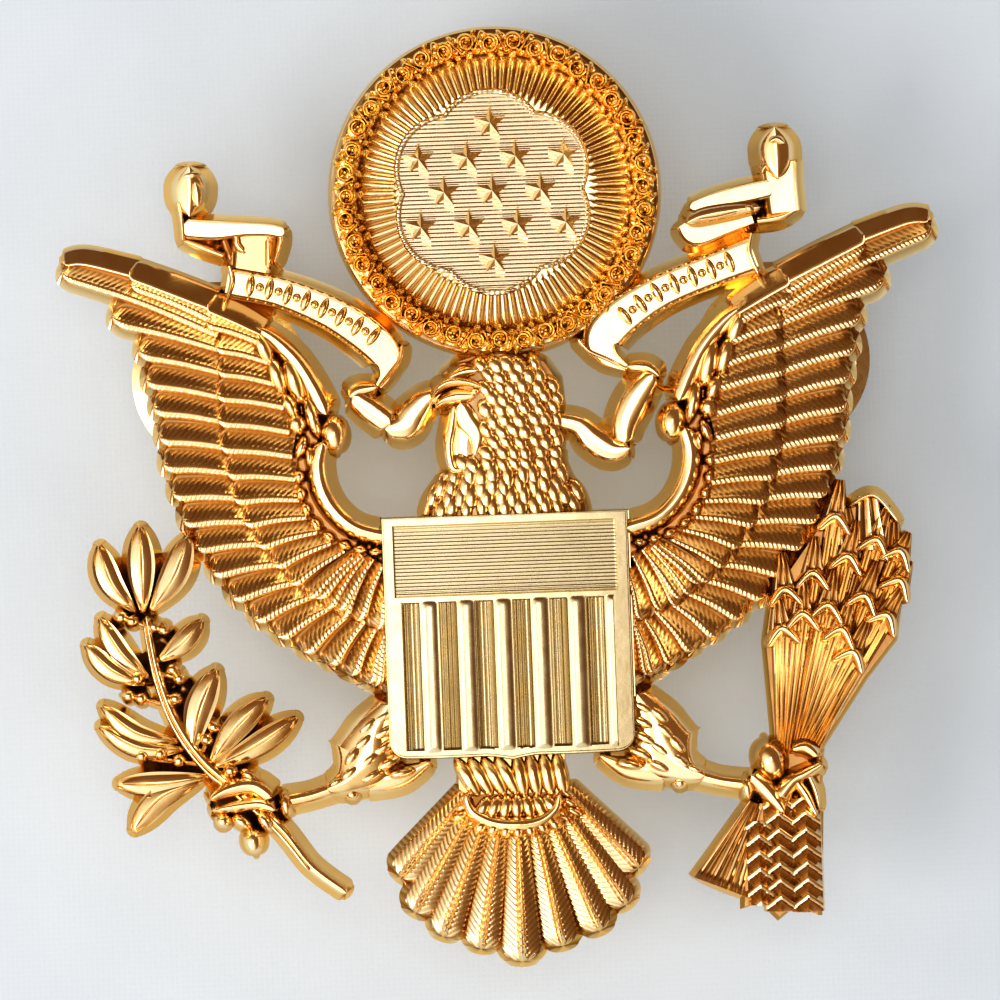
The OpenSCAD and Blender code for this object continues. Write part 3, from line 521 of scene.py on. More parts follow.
# Some stretches are given one painted shade share all over: most on those lying low behind others.
left_ribbon = roll(([[-19.65, 13.75, 2.6], [-19.7, 12.2, 2.75], [-19.75, 10.5, 2.3]], 3.0),
                   ([[-19.3, 12.7, 0.7], [-19.2, 11.9, 0.9], [-19.15, 11.1, 0.7]], 3.2)) + [
    oval((-19.5, 13.15), (1, 0.15), 1.2, 0.5, 2.7, 3.15, n=15, m=9, skirt=0.05, painted_shade_strength=0.3),
    tube([[-20.45, 11.4, 0.5], [-20.25, 10.2, 0.55], [-20.2, 9.0, 0.5]], 30, 1.2, 2.75),
    with_painted_shade(band([[-15.95, 6.9, 2.9], [-15.75, 7.9, 3.1], [-15.6, 9.2, 3.0]], 40, 1.0, 1.75, 0.15), 0.55),
    tube([[-16.75, 9.2, 0.5], [-16.75, 8.6, 0.6], [-16.35, 8.1, 0.5]], 24, 1.5, 2.5, ends=0.2),
    tube([[-14.75, 8.9, 0.5], [-14.75, 8.0, 0.55], [-14.8, 7.0, 0.5]], 24, 1.4, 2.3, ends=0.15),
    tube([[-13.9, 9.5, 0.5], [-13.95, 8.6, 0.6], [-14.35, 7.3, 0.45]], 30, 1.2, 2.5, ends=0.1),
    band([[-20.2, 9.75, 1.35], [-18.2, 9.55, 1.35], [-16.2, 9.55, 0.95], [-14.7, 9.45, 0.85],
          [-13.7, 9.2, 0.8]], 60, 1.2, 2.6, 0.08, ends=0.05),
    tube([[-20.3, 9.0, 0.45], [-19.1, 8.5, 0.7], [-17.7, 7.9, 0.55]], 30, 0.9, 2.2),
    with_painted_shade(tube([[-17.6, 8.9, 0.5], [-17.35, 8.1, 0.6], [-17.0, 7.2, 0.45]], 24, 1.0, 1.6), 0.9),
    band([[-17.5, 6.15, 2.0], [-14.2, 5.4, 2.2], [-11.0, 4.0, 2.45], [-8.7, 2.4, 2.6], [-7.45, 1.0, 2.3],
          [-7.45, -0.1, 1.0], [-7.95, -0.9, 0.5]], 110, 1.0, 2.25, 0.16),
    tube([[-17.3, 7.2, 0.5], [-17.15, 6.2, 0.6], [-17.6, 4.9, 0.4]], 24, 1.2, 2.6),
    tube([[-6.35, 1.7, 0.5], [-6.5, 0.8, 0.5], [-7.2, -0.1, 0.5], [-7.95, -0.95, 0.4]],
         40, 1.2, 2.55, ends=0.06),
    tube([[-8.0, -0.95, 0.9], [-9.2, -1.15, 1.5], [-9.85, -1.55, 1.3]], 30, 1.0, 2.7, ends=0.2),
    tube([[-9.6, -1.5, 1.5], [-8.6, -2.3, 2.0], [-7.3, -3.35, 2.0]], 40, 1.0, 2.8, flat=1.6, m=17, ends=0.1),
    tube([[-7.6, -3.7, 1.3], [-6.4, -3.5, 2.3], [-5.65, -2.6, 2.1], [-4.7, -1.75, 1.5], [-3.4, -1.75, 1.0]],
         50, 1.0, 2.5, flat=1.6, m=17, ends=0.08)]
right_ribbon = roll(([[18.2, 14.9, 2.6], [18.25, 13.4, 2.75], [18.3, 11.6, 2.5]], 3.0),
                    ([[17.8, 13.9, 0.6], [18.3, 14.1, 0.7], [18.8, 13.8, 0.6]], 3.2)) + [
    band([[18.35, 12.6, 2.6], [18.45, 11.2, 2.4], [18.6, 9.4, 2.3]], 50, 1.0, 2.35, 0.10),
    with_painted_shade(tube([[18.9, 12.9, 1.0], [17.6, 12.4, 0.8], [17.3, 11.9, 0.4]], 30, 1.8, 2.6, ends=0.1), 0.4),
    band([[17.9, 11.0, 1.2], [16.2, 10.7, 1.3], [14.0, 10.3, 1.0], [12.6, 9.9, 0.7]],
         50, 1.0, 2.45, 0.05, ends=0.05),
    with_painted_shade(tube([[17.1, 9.75, 1.0], [15.4, 9.6, 1.5], [13.4, 9.3, 1.6], [12.3, 8.9, 1.1]],
               50, 1.2, 3.0, m=17, ends=0.1), 0.25),
    tube([[13.0, 9.1, 0.3], [14.2, 9.2, 0.35], [15.6, 9.5, 0.3]], 30, 2.6, 3.15, m=7, ends=0.1, skirt=0.05),
    oval((16.4, 9.7), (1, -0.2), 0.9, 0.7, 2.3, 3.2, n=13, m=9, skirt=0.05),
    band([[12.2, 8.9, 1.3], [12.9, 8.1, 1.5], [14.8, 8.5, 1.0], [16.6, 9.0, 0.6]], 40, 1.0, 2.3, 0.08),
    tube([[16.9, 8.9, 0.8], [18.4, 9.1, 0.8], [19.5, 9.6, 0.6]], 30, 1.0, 2.3),
    band([[16.6, 6.75, 2.5], [13.5, 5.7, 2.4], [10.4, 4.5, 2.5], [7.9, 3.0, 2.8], [6.6, 1.6, 2.7],
          [6.9, 0.5, 1.5], [8.1, -0.3, 0.5]], 110, 1.0, 2.25, 0.16),
    tube([[16.5, 8.1, 0.5], [16.3, 6.9, 0.55], [16.8, 5.5, 0.45]], 24, 1.2, 2.6),
    tube([[5.0, 1.7, 0.5], [5.7, 0.9, 0.5], [6.9, 0.3, 0.5], [8.2, -0.4, 0.4]], 40, 1.2, 2.5, ends=0.06),
    tube([[8.1, -0.2, 0.8], [9.4, -0.3, 1.2], [10.2, -0.9, 0.9]], 30, 1.0, 2.6, ends=0.15),
    tube([[9.8, -0.8, 1.4], [8.7, -2.2, 2.2], [7.9, -3.8, 2.1], [7.8, -5.1, 1.5]],
         50, 1.0, 2.8, flat=1.6, m=17, ends=0.06),
    tube([[8.1, -5.5, 0.9], [7.0, -5.6, 1.9], [5.9, -4.9, 2.1], [4.9, -3.9, 1.6], [3.6, -3.5, 1.4]],
         60, 1.0, 2.6, flat=1.6, m=17, ends=0.06)]


def studs(points, count):
    """A row of small lozenges along the middle of a band, long ones and round ones in turn."""
    path = course(points, count + 2)[0]
    way = np.gradient(path[:, :2], axis=0)
    # Each stud gets full-strength painted shade round its edge.
    return [oval(path[i, :2], (-way[i, 1], way[i, 0]) if i % 2 else way[i], 1.5 if i % 2 else 0.6,
                 0.58, 2.1, 2.7, n=11, m=7, skirt=0.05, painted_shade_strength=1.0) for i in range(1, count + 1)]


left_ribbon += studs([[-16.6, 6.0], [-14.2, 5.45], [-11.0, 4.1], [-8.4, 2.5], [-7.7, 1.9]], 15)
right_ribbon += studs([[15.6, 6.5], [13.6, 5.8], [10.4, 4.6], [7.6, 2.7]], 13)
struck_piece("left_ribbon", left_ribbon)
struck_piece("right_ribbon", right_ribbon)


# Head and neck. A domed boss with a smooth face, a hooked beak, a heavy brow and rows of small
# scale feathers that slant down and to the right.
neck_spine = np.array([
    [0.2, 0.85, 2.6], [0.1, 0.0, 5.2], [-0.1, -1.0, 7.0], [0.1, -2.2, 7.4], [0.35, -3.6, 7.1],
    [0.05, -5.0, 7.6], [0.05, -6.6, 7.7], [0.0, -7.6, 8.8], [0.05, -8.6, 10.1], [0.05, -9.6, 10.6]])
neck_path = course(neck_spine, 60)[0]


def neck_depth(x, z):
    """Depth of the neck's dome: 1.7 at its edge and 3.2 along its middle, a half ellipse across."""
    middle = np.interp(-z, -neck_path[:, 1], neck_path[:, 0])
    half = np.interp(-z, -neck_path[:, 1], neck_path[:, 2]) / 2
    return 1.7 + 1.5 * np.sqrt(np.clip(1 - ((x - middle) / half)**2, 0, 1))


neck_v = -np.cos(np.linspace(0, np.pi, 23))
dome = 1.5 + 1.5 * np.sqrt(np.clip(1 - neck_v**2, 0, 1))[None, :]
# The neck's dome and the slab round it carry heavy painted shade, so the gaps between the scales read dark.
head = [with_painted_shade(struck(neck_path, neck_path[:, 2] / 2, dome, neck_v, skirt=0.3), 0.80),
        with_painted_shade(slab([[-5.2, -9.5], [-4.9, -8.5], [-4.2, -7.5], [-3.9, -6.6], [-3.8, -5.0], [-3.4, -3.6],
                    [-3.1, -2.6], [-3.9, -2.2], [-4.2, -1.4], [-3.7, -0.2], [-2.8, 0.5], [-1.6, 0.85],
                    [1.6, 0.85], [2.8, 0.3], [3.5, -0.8], [3.6, -2.2], [3.5, -5.8], [4.0, -7.2],
                    [4.9, -8.6], [5.3, -9.5]], 1.2, skirt=0.5), 0.95)]
row_pitch, scale_pitch = 0.70, 0.84
for row in range(14):
    z = 0.2 - row_pitch * row
    left_end = -1.3 if z > -1.2 else -1.1 if z > -5.4 else -3.2 if z > -6.9 else -4.6
    for step, x in enumerate(np.arange(left_end + scale_pitch / 2 * (row % 2), 4.9, scale_pitch)):
        half = np.interp(-z, -neck_path[:, 1], neck_path[:, 2]) / 2
        x, drop = x + 0.12 * np.sin(3.1 * row + 1.7 * step), 0.10 * np.sin(2.3 * row - 2.9 * step)
        if x - np.interp(-z, -neck_path[:, 1], neck_path[:, 0]) < half - 0.15:
            d = neck_depth(x, z)
            upper = z > -6.8
            slant = 0.55 + 0.2 * np.sin(row + step) if upper else 0.07 * x + 0.08
            head.append(oval((x, z + drop), (slant, -1), 1.4 if upper else 1.8,
                             0.92 + 0.10 * np.sin(5 * row + step), d - 0.26, d + 0.30, lean=0.16, n=11,
                             skirt=0.08))
head += [
    tube([[-1.2, -1.25, 0.5], [-2.2, -0.85, 0.75], [-3.3, -0.8, 0.85], [-4.1, -1.2, 0.8],
          [-4.6, -1.9, 0.35]], 40, 1.8, 3.7, ends=0.08),
    tube([[-1.5, -0.1, 0.9], [-2.5, -0.2, 1.0], [-3.4, -0.55, 0.6]], 24, 1.8, 3.3, ends=0.15),
    tube([[-1.8, -1.75, 1.0], [-3.0, -1.75, 1.3], [-3.9, -2.0, 0.9], [-4.3, -2.45, 0.3]],
         40, 1.6, 3.3, ends=0.1),
    tube([[-2.7, -2.2, 1.3], [-2.3, -3.2, 1.9], [-1.7, -4.3, 1.6], [-1.9, -5.6, 0.6]],
         40, 1.6, 3.1, flat=1.5, ends=0.1),
    tube([[-2.3, -2.9, 1.2], [-2.45, -4.2, 2.5], [-2.45, -5.4, 2.5], [-2.3, -6.3, 1.4]],
         40, 1.4, 2.65, flat=1.6, ends=0.1),
    tube([[-3.1, -2.4, 0.8], [-3.3, -3.6, 1.0], [-3.55, -5.0, 1.0], [-3.3, -6.4, 0.9], [-2.5, -6.3, 0.6],
          [-1.9, -5.4, 0.5]], 60, 1.5, 2.9, ends=0.06),
    oval((-1.75, -1.5), (1, 0.2), 0.6, 0.45, 2.9, 3.45, n=11, m=9, skirt=0.05),
    tube([[-5.2, -9.3, 0.5], [-4.9, -8.4, 0.5], [-4.1, -7.3, 0.5], [-3.7, -6.8, 0.4]], 30, 1.4, 2.3)]
struck_piece("head_and_neck", head)


# Cloud disc. A spun and pressed dish with a flat floor, ninety-two rays pressed into its slope, and
# a thick rim that the clouds stand on.
disc_z, plate_x, rays = 11.4, -0.15, 92


def rings(shape):
    """Faces of a closed tray of rings: quads between them, and one face in each end ring."""
    k = np.arange(shape[0] * shape[1]).reshape(shape)
    return net(np.hstack([k, k[:, :1]]))[:, [0, 3, 2, 1]], [k[0][::-1], k[-1]]


def turned(radii, depth_at, spokes, centre, back=0.0):
    """A disc as a closed shell: rings at radii, spokes round them, depth given by a function of
    radius and angle. The last ring is the wall's foot at the back, and both end rings are filled."""
    angle = np.linspace(0, 2 * np.pi, spokes, endpoint=False)
    r, a = np.meshgrid(radii, angle, indexing="ij")
    points = np.stack([centre[0] + r * np.sin(a), -depth_at(r, a), centre[1] + r * np.cos(a)], -1)
    points[-1, :, 1] = -back
    return points.reshape(-1, 3), *rings(r.shape)


def ray_at(a):
    """How near the angle is to a ray's crest: |sin(46 a + 0.4)|^0.7."""
    return np.abs(np.sin(rays / 2 * a + 0.4)) ** 0.7


def dish_depth(r, a):
    """Floor 2.05, a slope that falls to 1.5 at radius 8.7 under 92 rounded rays of 0.26, and a rim
    with a roof section that peaks at 9.6."""
    base = np.interp(r, [0, 6.2, 8.7, 8.85, 9.1, 9.6, 10.2, 10.55, 10.7],
                     [2.05, 2.05, 1.5, 1.35, 2.0, 2.35, 2.05, 1.9, 1.2])
    return base + 0.26 * (ray_at(a) - 0.5) * np.clip((r - 6.3) / 0.3, 0, 1) * np.clip((8.8 - r) / 0.15, 0, 1)


dish_radii = np.r_[0.5, 3.0, 6.0, np.linspace(6.3, 6.7, 4), np.linspace(7.1, 8.5, 6), 8.65, 8.75, 8.85,
                   8.95, 9.1, 9.35, 9.6, 9.9, 10.2, 10.45, 10.55, 10.65, 10.8]
dish_r, dish_a = np.meshgrid(dish_radii, np.linspace(0, 2 * np.pi, 920, endpoint=False), indexing="ij")
# Painted shade: in the valleys between the rays, heavy on the rim under the clouds, light on its outer edge.
dish_painted_shade = np.where(dish_r < 8.78, 0.75 * (1 - ray_at(dish_a)), 0.85)
disc = turned(dish_radii, dish_depth, 920, (0, disc_z))
piece("disc_cup_pressed", [(*disc, np.where(dish_r > 10.5, 0.2, dish_painted_shade).ravel())], polished_gold,
      ["disc_cup"], crease=60)

# Cloud band. Forty small curls with links, a bead in each and small knobs inside and outside them,
# cast as one pierced ring in deeper gold and soldered on the rim.
orange_gold = metal("orange_gold", (1.0, 0.68, 0.24), (1.0, 0.80, 0.36), 0.12, 0.12, 0.00003)
curls, curl_radius = 40, 9.66
# Painted shade: a little round the edges of the beads and knobs, and some over the bed under the curls.
clouds = []
for i in range(curls):
    turn = 2 * np.pi * i / curls
    out = np.array([np.sin(turn), np.cos(turn)])
    side = np.array([out[1], -out[0]])
    swing = 1 if i % 2 else -1
    middle = np.array([0, disc_z]) + (curl_radius + 0.10 * swing) * out
    wind = np.linspace(0.3, 2 * np.pi * 1.3, 14) + i
    coil = middle + np.linspace(0.34, 0.56, 14)[:, None] * np.column_stack([np.cos(wind), np.sin(wind)])
    clouds.append(tube(np.column_stack([coil, np.full(14, 0.25)]), 34, 2.5, 3.45, m=7, skirt=0.02))
    clouds.append(oval(middle, side, 0.38, 0.34, 2.5, 3.35, n=9, m=7, skirt=0.02, painted_shade_strength=0.1))
    link = middle + np.outer([0.3, 0.5, 0.78, 1.05, 1.25], side)
    link = link + np.outer([-0.42, -0.5, 0, 0.5, 0.42], out) * swing
    clouds.append(tube(np.column_stack([link, np.full(5, 0.26)]), 18, 2.4, 3.35, m=7, skirt=0.02))
    for reach, along, long, wide, high in ((-0.78, 0.1, 0.70, 0.50, 2.95), (-0.60, 0.70, 0.60, 0.45, 3.05),
                                           (0.66, 0.62, 0.60, 0.40, 2.95)):
        clouds.append(oval(middle + reach * out + along * side, out + swing * side, long, wide, 2.0, high,
                           n=9, m=7, skirt=0.06, painted_shade_strength=0.2))
cloud_radii = np.r_[8.95, 9.05, 9.15, np.linspace(9.3, 10.2, 6), 10.3, 10.36]


def cloud_bed(r, a):
    """A lumpy bed 2.45 deep at its middle: waves of 0.14 that cross round and across the band."""
    return 2.45 + 0.14 * np.sin(curls * 1.5 * a) * np.sin(9 * r) - 0.2 * np.abs(r - 9.65)


def round_band(radii, depth_at, spokes, centre, back):
    """A ring as a closed shell: the same grid as a turned disc, with its first circle on the back
    plane too and joined to its last."""
    points, quads, ends = turned(radii, depth_at, spokes, centre, back)
    points[:spokes, 1] = -back
    k = np.arange(len(points)).reshape(-1, spokes)
    nxt = np.roll(k, -1, 1)
    return points, np.vstack([quads, np.stack([k[-1], nxt[-1], nxt[0], k[0]], -1)]), []


clouds.append(with_painted_shade(round_band(cloud_radii, cloud_bed, 480, (0, disc_z), 1.9), 0.35))
piece("cloud_band_cast", clouds, orange_gold, ["cloud_band"])

# Star plate. A six-lobed plate of paler gold, milled with level lines, with a corded edge and
# thirteen five-pointed stars that rise to a peak.
def lined_metal(name, dark, light, shine, haze, pitch, groove):
    """Plated metal with fine level lines, a sine across Z of the given pitch in metres."""
    made = metal(name, dark, light, shine, haze, 0.00002)
    tree = made.node_tree
    lines = shader(tree, "TexWave", {"Vector": shader(tree, "TexCoord").outputs["Object"],
                                     "Scale": 2 * np.pi / pitch / 20}, bands_direction="Z")
    cut = shader(tree, "Bump", {"Height": lines.outputs["Fac"], "Distance": groove, "Strength": 1.0,
                                "Normal": tree.nodes["Bump"].outputs["Normal"]})
    feed(tree.nodes["Principled BSDF"], {"Normal": cut.outputs["Normal"]})
    return made


pale_gold = metal("pale_gold", (0.69, 0.59, 0.35), (0.79, 0.69, 0.43), 0.20, 0.12, 0.00002)
milled_pale_gold = lined_metal("milled_pale_gold", (0.76, 0.63, 0.40), (0.86, 0.73, 0.50), 0.20, 0.12,
                               0.00027, 0.00006)


def lobed(a, lobe=3.6, out=3.1):
    """Distance from the centre to the edge of six circles of radius lobe set out from it, the
    farthest crossing of the ray at angle a with any of them."""
    off = (a[..., None] - np.radians(30 + 60 * np.arange(6)) + np.pi) % (2 * np.pi) - np.pi
    reach = lobe**2 - (out * np.sin(off))**2
    return np.max(np.where(reach > 0, out * np.cos(off) + np.sqrt(np.clip(reach, 0, None)), 0), -1)


def lobed_plate():
    """The plate: rings that share its lobed outline, a corded rim 0.17 above a level face."""
    share = np.r_[0.04, 0.3, 0.6, 0.9, 0.945, 0.955, 0.965, 0.98, 0.995, 1.005, 1.02]
    depth = np.array([2.25, 2.25, 2.25, 2.25, 2.24, 2.36, 2.42, 2.42, 2.34, 2.1, 1.3])
    a = np.linspace(0, 2 * np.pi, 480, endpoint=False)
    edge = lobed(np.pi / 2 - a)
    cord = 0.05 * np.outer((share > 0.95) & (share < 1.0), np.abs(np.sin(60 * a)))
    points = np.stack([plate_x + np.outer(share, edge * np.sin(a)), -depth[:, None] - cord,
                       disc_z + np.outer(share, edge * np.cos(a))], -1)
    return points.reshape(-1, 3), *rings(points.shape[:2])


def star(centre, r, low=2.2, high=2.72):
    """A faceted star: ten corners at depth low + 0.25 over a wider foot at low, and a peak at high."""
    lip_high, a = 0.25, np.arange(10) * np.pi / 5
    way = np.column_stack([np.sin(a), np.cos(a)])
    size = np.where(np.arange(10) % 2 == 0, r, 0.42 * r)[:, None]
    lip, foot = centre + 0.97 * size * way, centre + 1.06 * size * way
    points = np.vstack([np.column_stack([foot[:, 0], np.full(10, -low), foot[:, 1]]),
                        np.column_stack([lip[:, 0], np.full(10, -low - lip_high), lip[:, 1]]),
                        [[centre[0], -high, centre[1]]]])
    k = np.arange(10)
    n = (k + 1) % 10
    walls = np.stack([k, n, n + 10, k + 10], -1)
    peak = [np.array([i, j, 20]) for i, j in zip(k + 10, n + 10)]
    return points, walls[:, ::-1], [p[::-1] for p in peak] + [k]


star_rows = [(2, 1), (1, 4), (0, 3), (-1, 4), (-2, 1)]
stars = [star(np.array([plate_x + (i - (many - 1) / 2) * 3.13, disc_z + row * 2.2 + 0.05]), 1.02)
         for row, many in star_rows for i in range(many)]
piece("star_plate_face", [lobed_plate()], milled_pale_gold, ["star_plate"])
piece("stars", stars, polished_gold, [], crease=15)


# Shield. A separate plate of pale gold, riveted to the breast: a level border, a sunk panel with
# level lines across the top, and six sunk stripes between raised bars.
def shield_shell():
    """A grid over the shield, its rows run from the top edge to the foot's curve. Depth is a slow
    bow, less 0.22 in the panel and 0.26 in the stripes, with a cosine's fine lines in both."""
    half_wide, middle, top, foot, corner = 7.9, -0.15, -9.5, -24.92, 1.1
    x = np.linspace(-half_wide, half_wide, 317)
    inward = np.clip(np.abs(x) - (half_wide - corner), 0, corner)
    floor = foot + corner - np.sqrt(corner**2 - np.minimum(inward, corner - 0.01)**2)
    floor = floor - 0.30 * np.clip(1 - np.abs(x) / 1.8, 0, 1)**1.5 - 0.06 * np.sin(np.abs(x) / 2.5)
    level = np.r_[np.linspace(top, -14.7, 180), np.linspace(-14.72, -15.1, 8), np.linspace(-15.4, -22, 24)]
    share = np.linspace(0.04, 1, 40)[:, None]
    z = np.vstack([level[:, None] * np.ones_like(x), -22 + share * (floor + 22)])
    xx = np.broadcast_to(x + middle, z.shape)

    def within(value, low, high, soft=0.06):
        return np.clip((value - low) / soft, 0, 1) * np.clip((high - value) / soft, 0, 1)

    line_pitch, bar_pitch, stripe_pitch = 0.235, 2.38, 0.26
    panel = within(xx, -7.4, 7.0) * within(z, -14.6, -9.98)
    stripe = ((xx + 7.05) % bar_pitch) - 0.03
    in_stripe = within(stripe, 0.05, 1.22) * within(z, -24.5, -14.95) * within(xx, -7.3, 6.6, 0.02)
    bar = within(stripe, 1.32, 2.36, 0.2) * within(z, -24.6, -14.9, 0.2) * within(xx, -6.0, 6.7, 0.02)
    line, furrow = np.cos(2 * np.pi * z / line_pitch), np.cos(2 * np.pi * (stripe - 0.05) / stripe_pitch)
    round_bar = np.sin(np.pi * np.clip((stripe - 1.25) / 1.15, 0, 1))
    depth = 3.66 - 0.30 * ((xx + 1.5) / half_wide) ** 2 + 0.12 * bar * round_bar
    depth = depth - panel * (0.22 + 0.03 * line) - in_stripe * (0.26 + 0.06 * furrow)
    grid = np.zeros((z.shape[0] + 2, z.shape[1] + 2, 3))
    grid[1:-1, 1:-1] = np.stack([xx, -depth, z], -1)
    grid[1:-1, 0], grid[1:-1, -1] = grid[1:-1, 1], grid[1:-1, -2]
    grid[0], grid[-1] = grid[1], grid[-2]
    grid[1:-1, 0, 0] -= 0.12
    grid[1:-1, -1, 0] += 0.12
    grid[0, :, 2] += 0.12
    grid[-1, :, 2] -= 0.12
    grid[[0, -1], 0, 0], grid[[0, -1], -1, 0] = middle - half_wide - 0.12, middle + half_wide + 0.12
    for ring in (grid[0], grid[-1], grid[:, 0], grid[:, -1]):
        ring[:, 1] = -2.3
    edge = 0.12 * np.ones(z.shape)
    edge[2:-2, 2:-2] = 0
    grid[1:-1, 1:-1, 1] += edge
    k = np.arange(grid[..., 0].size).reshape(grid.shape[:2])
    # Painted shade: a base share of 0.25, less on the lined panel with its grooves darker, more in the sunk
    # stripes and most in their furrows.
    dark = 0.25 - panel * (0.19 - 0.06 * line) + in_stripe * (0.18 + 0.18 * furrow)
    return with_painted_shade((grid.reshape(-1, 3), net(k)[:, [1, 2, 3, 0]], [rim_of(k)]), np.clip(dark, 0, 1))


piece("shield_struck", [shield_shell()], pale_gold, ["shield"], crease=50)


# Legs. Each has a plump thigh with long feathers, a short bare shank and toes that grip the
# branch or the arrows, with round knuckles and claws.
def leg_shells(side):
    """Thigh, its feathers, knee knob and shank for the leg on the given side."""
    flip = np.array([side, 1])
    thigh, fold, shank = (np.array(line) * (side, 1, 1) for line in (
        [[8.0, -21.4, 1.6], [9.1, -23.2, 3.2], [9.7, -25.0, 4.6], [10.9, -26.3, 2.4], [12.2, -26.8, 1.2]],
        [[9.8, -26.4, 2.0], [7.4, -26.1, 1.9], [5.5, -25.3, 0.7]],
        [[11.6, -26.7, 1.4], [13.2, -27.2, 1.25], [15.0, -27.5, 1.35]]))
    shells = [
        tube(thigh, 70, 1.2, 3.0, m=21, ends=0.03),
        tube(fold, 40, 1.1, 2.4, ends=0.06),
        tube(shank, 50, 1.0, 2.5),
        oval(flip * (10.6, -27.2), (side, 0.2), 1.2, 1.0, 1.2, 2.5, n=17, m=11),
        oval(flip * (14.9, -27.7), (0.1, -1), 1.9, 1.0, 1.4, 3.0, n=17, m=11)]
    plumes = [
        [(8.3, -22.2), (1, -0.55), 2.0, 0.8], [(9.3, -22.7), (1, -0.9), 2.0, 0.8],
        [(8.3, -23.2), (1, -0.5), 2.1, 0.8], [(9.6, -23.7), (1, -0.9), 2.1, 0.85],
        [(8.4, -24.2), (1, -0.6), 2.1, 0.8], [(10.4, -24.6), (0.8, -1), 2.0, 0.85],
        [(9.3, -24.9), (1, -0.8), 2.1, 0.8], [(8.1, -25.2), (1, -0.5), 2.0, 0.8],
        [(10.6, -25.7), (1, -0.8), 1.9, 0.8], [(9.2, -26.0), (1, -0.5), 1.9, 0.75],
        [(7.3, -25.9), (1, -0.2), 1.9, 0.7], [(11.5, -26.3), (1, -0.5), 1.4, 0.6]]
    return shells + [oval(flip * at, flip * way, long, wide, 2.2, 3.15, lean=0.12, n=15, skirt=0.15)
                     for at, way, long, wide in plumes]


left_leg = leg_shells(-1) + [
    tube([[-19.8, -27.2, 0.8], [-18.6, -26.6, 1.3], [-17.0, -26.4, 1.5], [-15.8, -27.2, 1.4]],
         50, 1.4, 3.2, ends=0.08),
    tube([[-19.7, -27.9, 0.5], [-18.2, -27.7, 1.0], [-16.6, -27.6, 1.1], [-15.6, -28.0, 1.0]],
         50, 1.4, 3.0, ends=0.08),
    oval((-18.4, -25.35), (1, 0), 1.2, 1.1, 1.4, 3.0, n=17, m=13),
    oval((-17.2, -25.7), (1, -0.6), 1.6, 1.0, 1.4, 3.1, n=17, m=13),
    oval((-19.0, -28.6), (1, -0.3), 1.3, 1.2, 1.2, 2.7, n=17, m=13),
    oval((-17.8, -28.7), (1, -0.6), 1.7, 1.0, 1.2, 2.9, n=17, m=13),
    oval((-17.1, -30.0), (0.1, -1), 2.0, 1.5, 1.2, 2.8, n=21, m=13),
    oval((-16.3, -28.7), (0.7, -1), 1.8, 1.0, 1.4, 3.0, n=17, m=13)]
right_leg = leg_shells(1) + [
    oval((16.5, -25.9), (0.25, -1), 3.0, 2.2, 1.4, 3.7, n=27, m=19),
    tube([[17.9, -25.3, 0.8], [18.8, -25.2, 1.2], [19.5, -25.8, 0.9]], 30, 1.6, 3.0, ends=0.1),
    tube([[19.8, -26.3, 0.7], [18.7, -26.9, 1.1], [17.9, -27.3, 1.2], [17.0, -28.3, 1.6]],
         50, 1.6, 3.3, ends=0.06),
    tube([[17.9, -27.1, 0.8], [18.7, -28.3, 0.9], [19.3, -29.6, 0.5]], 40, 1.6, 3.1, ends=0.08),
    tube([[18.9, -27.0, 0.5], [19.3, -28.0, 0.6], [19.5, -29.2, 0.3]], 30, 1.6, 2.9, ends=0.08),
    tube([[15.2, -26.9, 1.2], [16.2, -27.9, 1.5], [17.2, -29.3, 0.9]], 40, 1.6, 3.2, ends=0.06)]
struck_piece("left_leg", left_leg)
struck_piece("right_leg", right_leg)


# Tail. Nine feathers in a fan, each with a beaded shaft and chevron barbs, under a collar of short
# slanting feathers and a rolled edge.
def tail_feather(root, tip, wide_root, wide_tip, high, barb=0.40):
    """A fan feather: a low roof either side of a beaded shaft, with barbs at about 45 degrees, saw
    teeth of (length + width)."""
    root, tip = np.array(root, float), np.array(tip, float)
    path, length = course([root, tip], int(np.linalg.norm(tip - root) / 0.07))
    u = np.linspace(0, 1, len(path))[:, None]
    v = np.r_[np.linspace(-1, -0.25, 9), np.linspace(-0.18, 0.18, 7), np.linspace(0.25, 1, 9)][None, :]
    half = (wide_root + (wide_tip - wide_root) * u[:, 0]) / 2 * round_end(u[:, 0], 0.12)
    off = np.abs(v) * half[:, None]
    shaft = np.clip(1 - np.abs(v) / 0.20, 0, 1) ** 0.5
    vane = np.clip((np.abs(v) - 0.2) / 0.08, 0, 1)
    tooth = np.abs(((u * length + 1.1 * off) / barb) % 1 - 0.5) * 2
    beads = np.abs(np.sin(np.pi * u * length / 0.45))
    depth = high - 0.34 * np.abs(v) ** 1.8 + 0.09 * (tooth - 0.5) * vane
    depth = depth + (0.26 + 0.12 * beads) * shaft
    # Painted shade on the vanes, most in the barbs' valleys and towards the outer edges; on the shaft, more
    # between the beads.
    dark = vane * (0.30 + 0.55 * (0.5 - tooth) + 0.5 * np.clip(np.abs(v) - 0.80, 0, 1) / 0.2)
    shell = struck(path, half, depth - 0.30 * (1 - round_end(u, 0.12, 0)), v[0], skirt=0.45, blunt=0.12)
    return with_painted_shade(shell, np.clip(dark + 0.3 * shaft * (0.5 - beads), 0, 1))


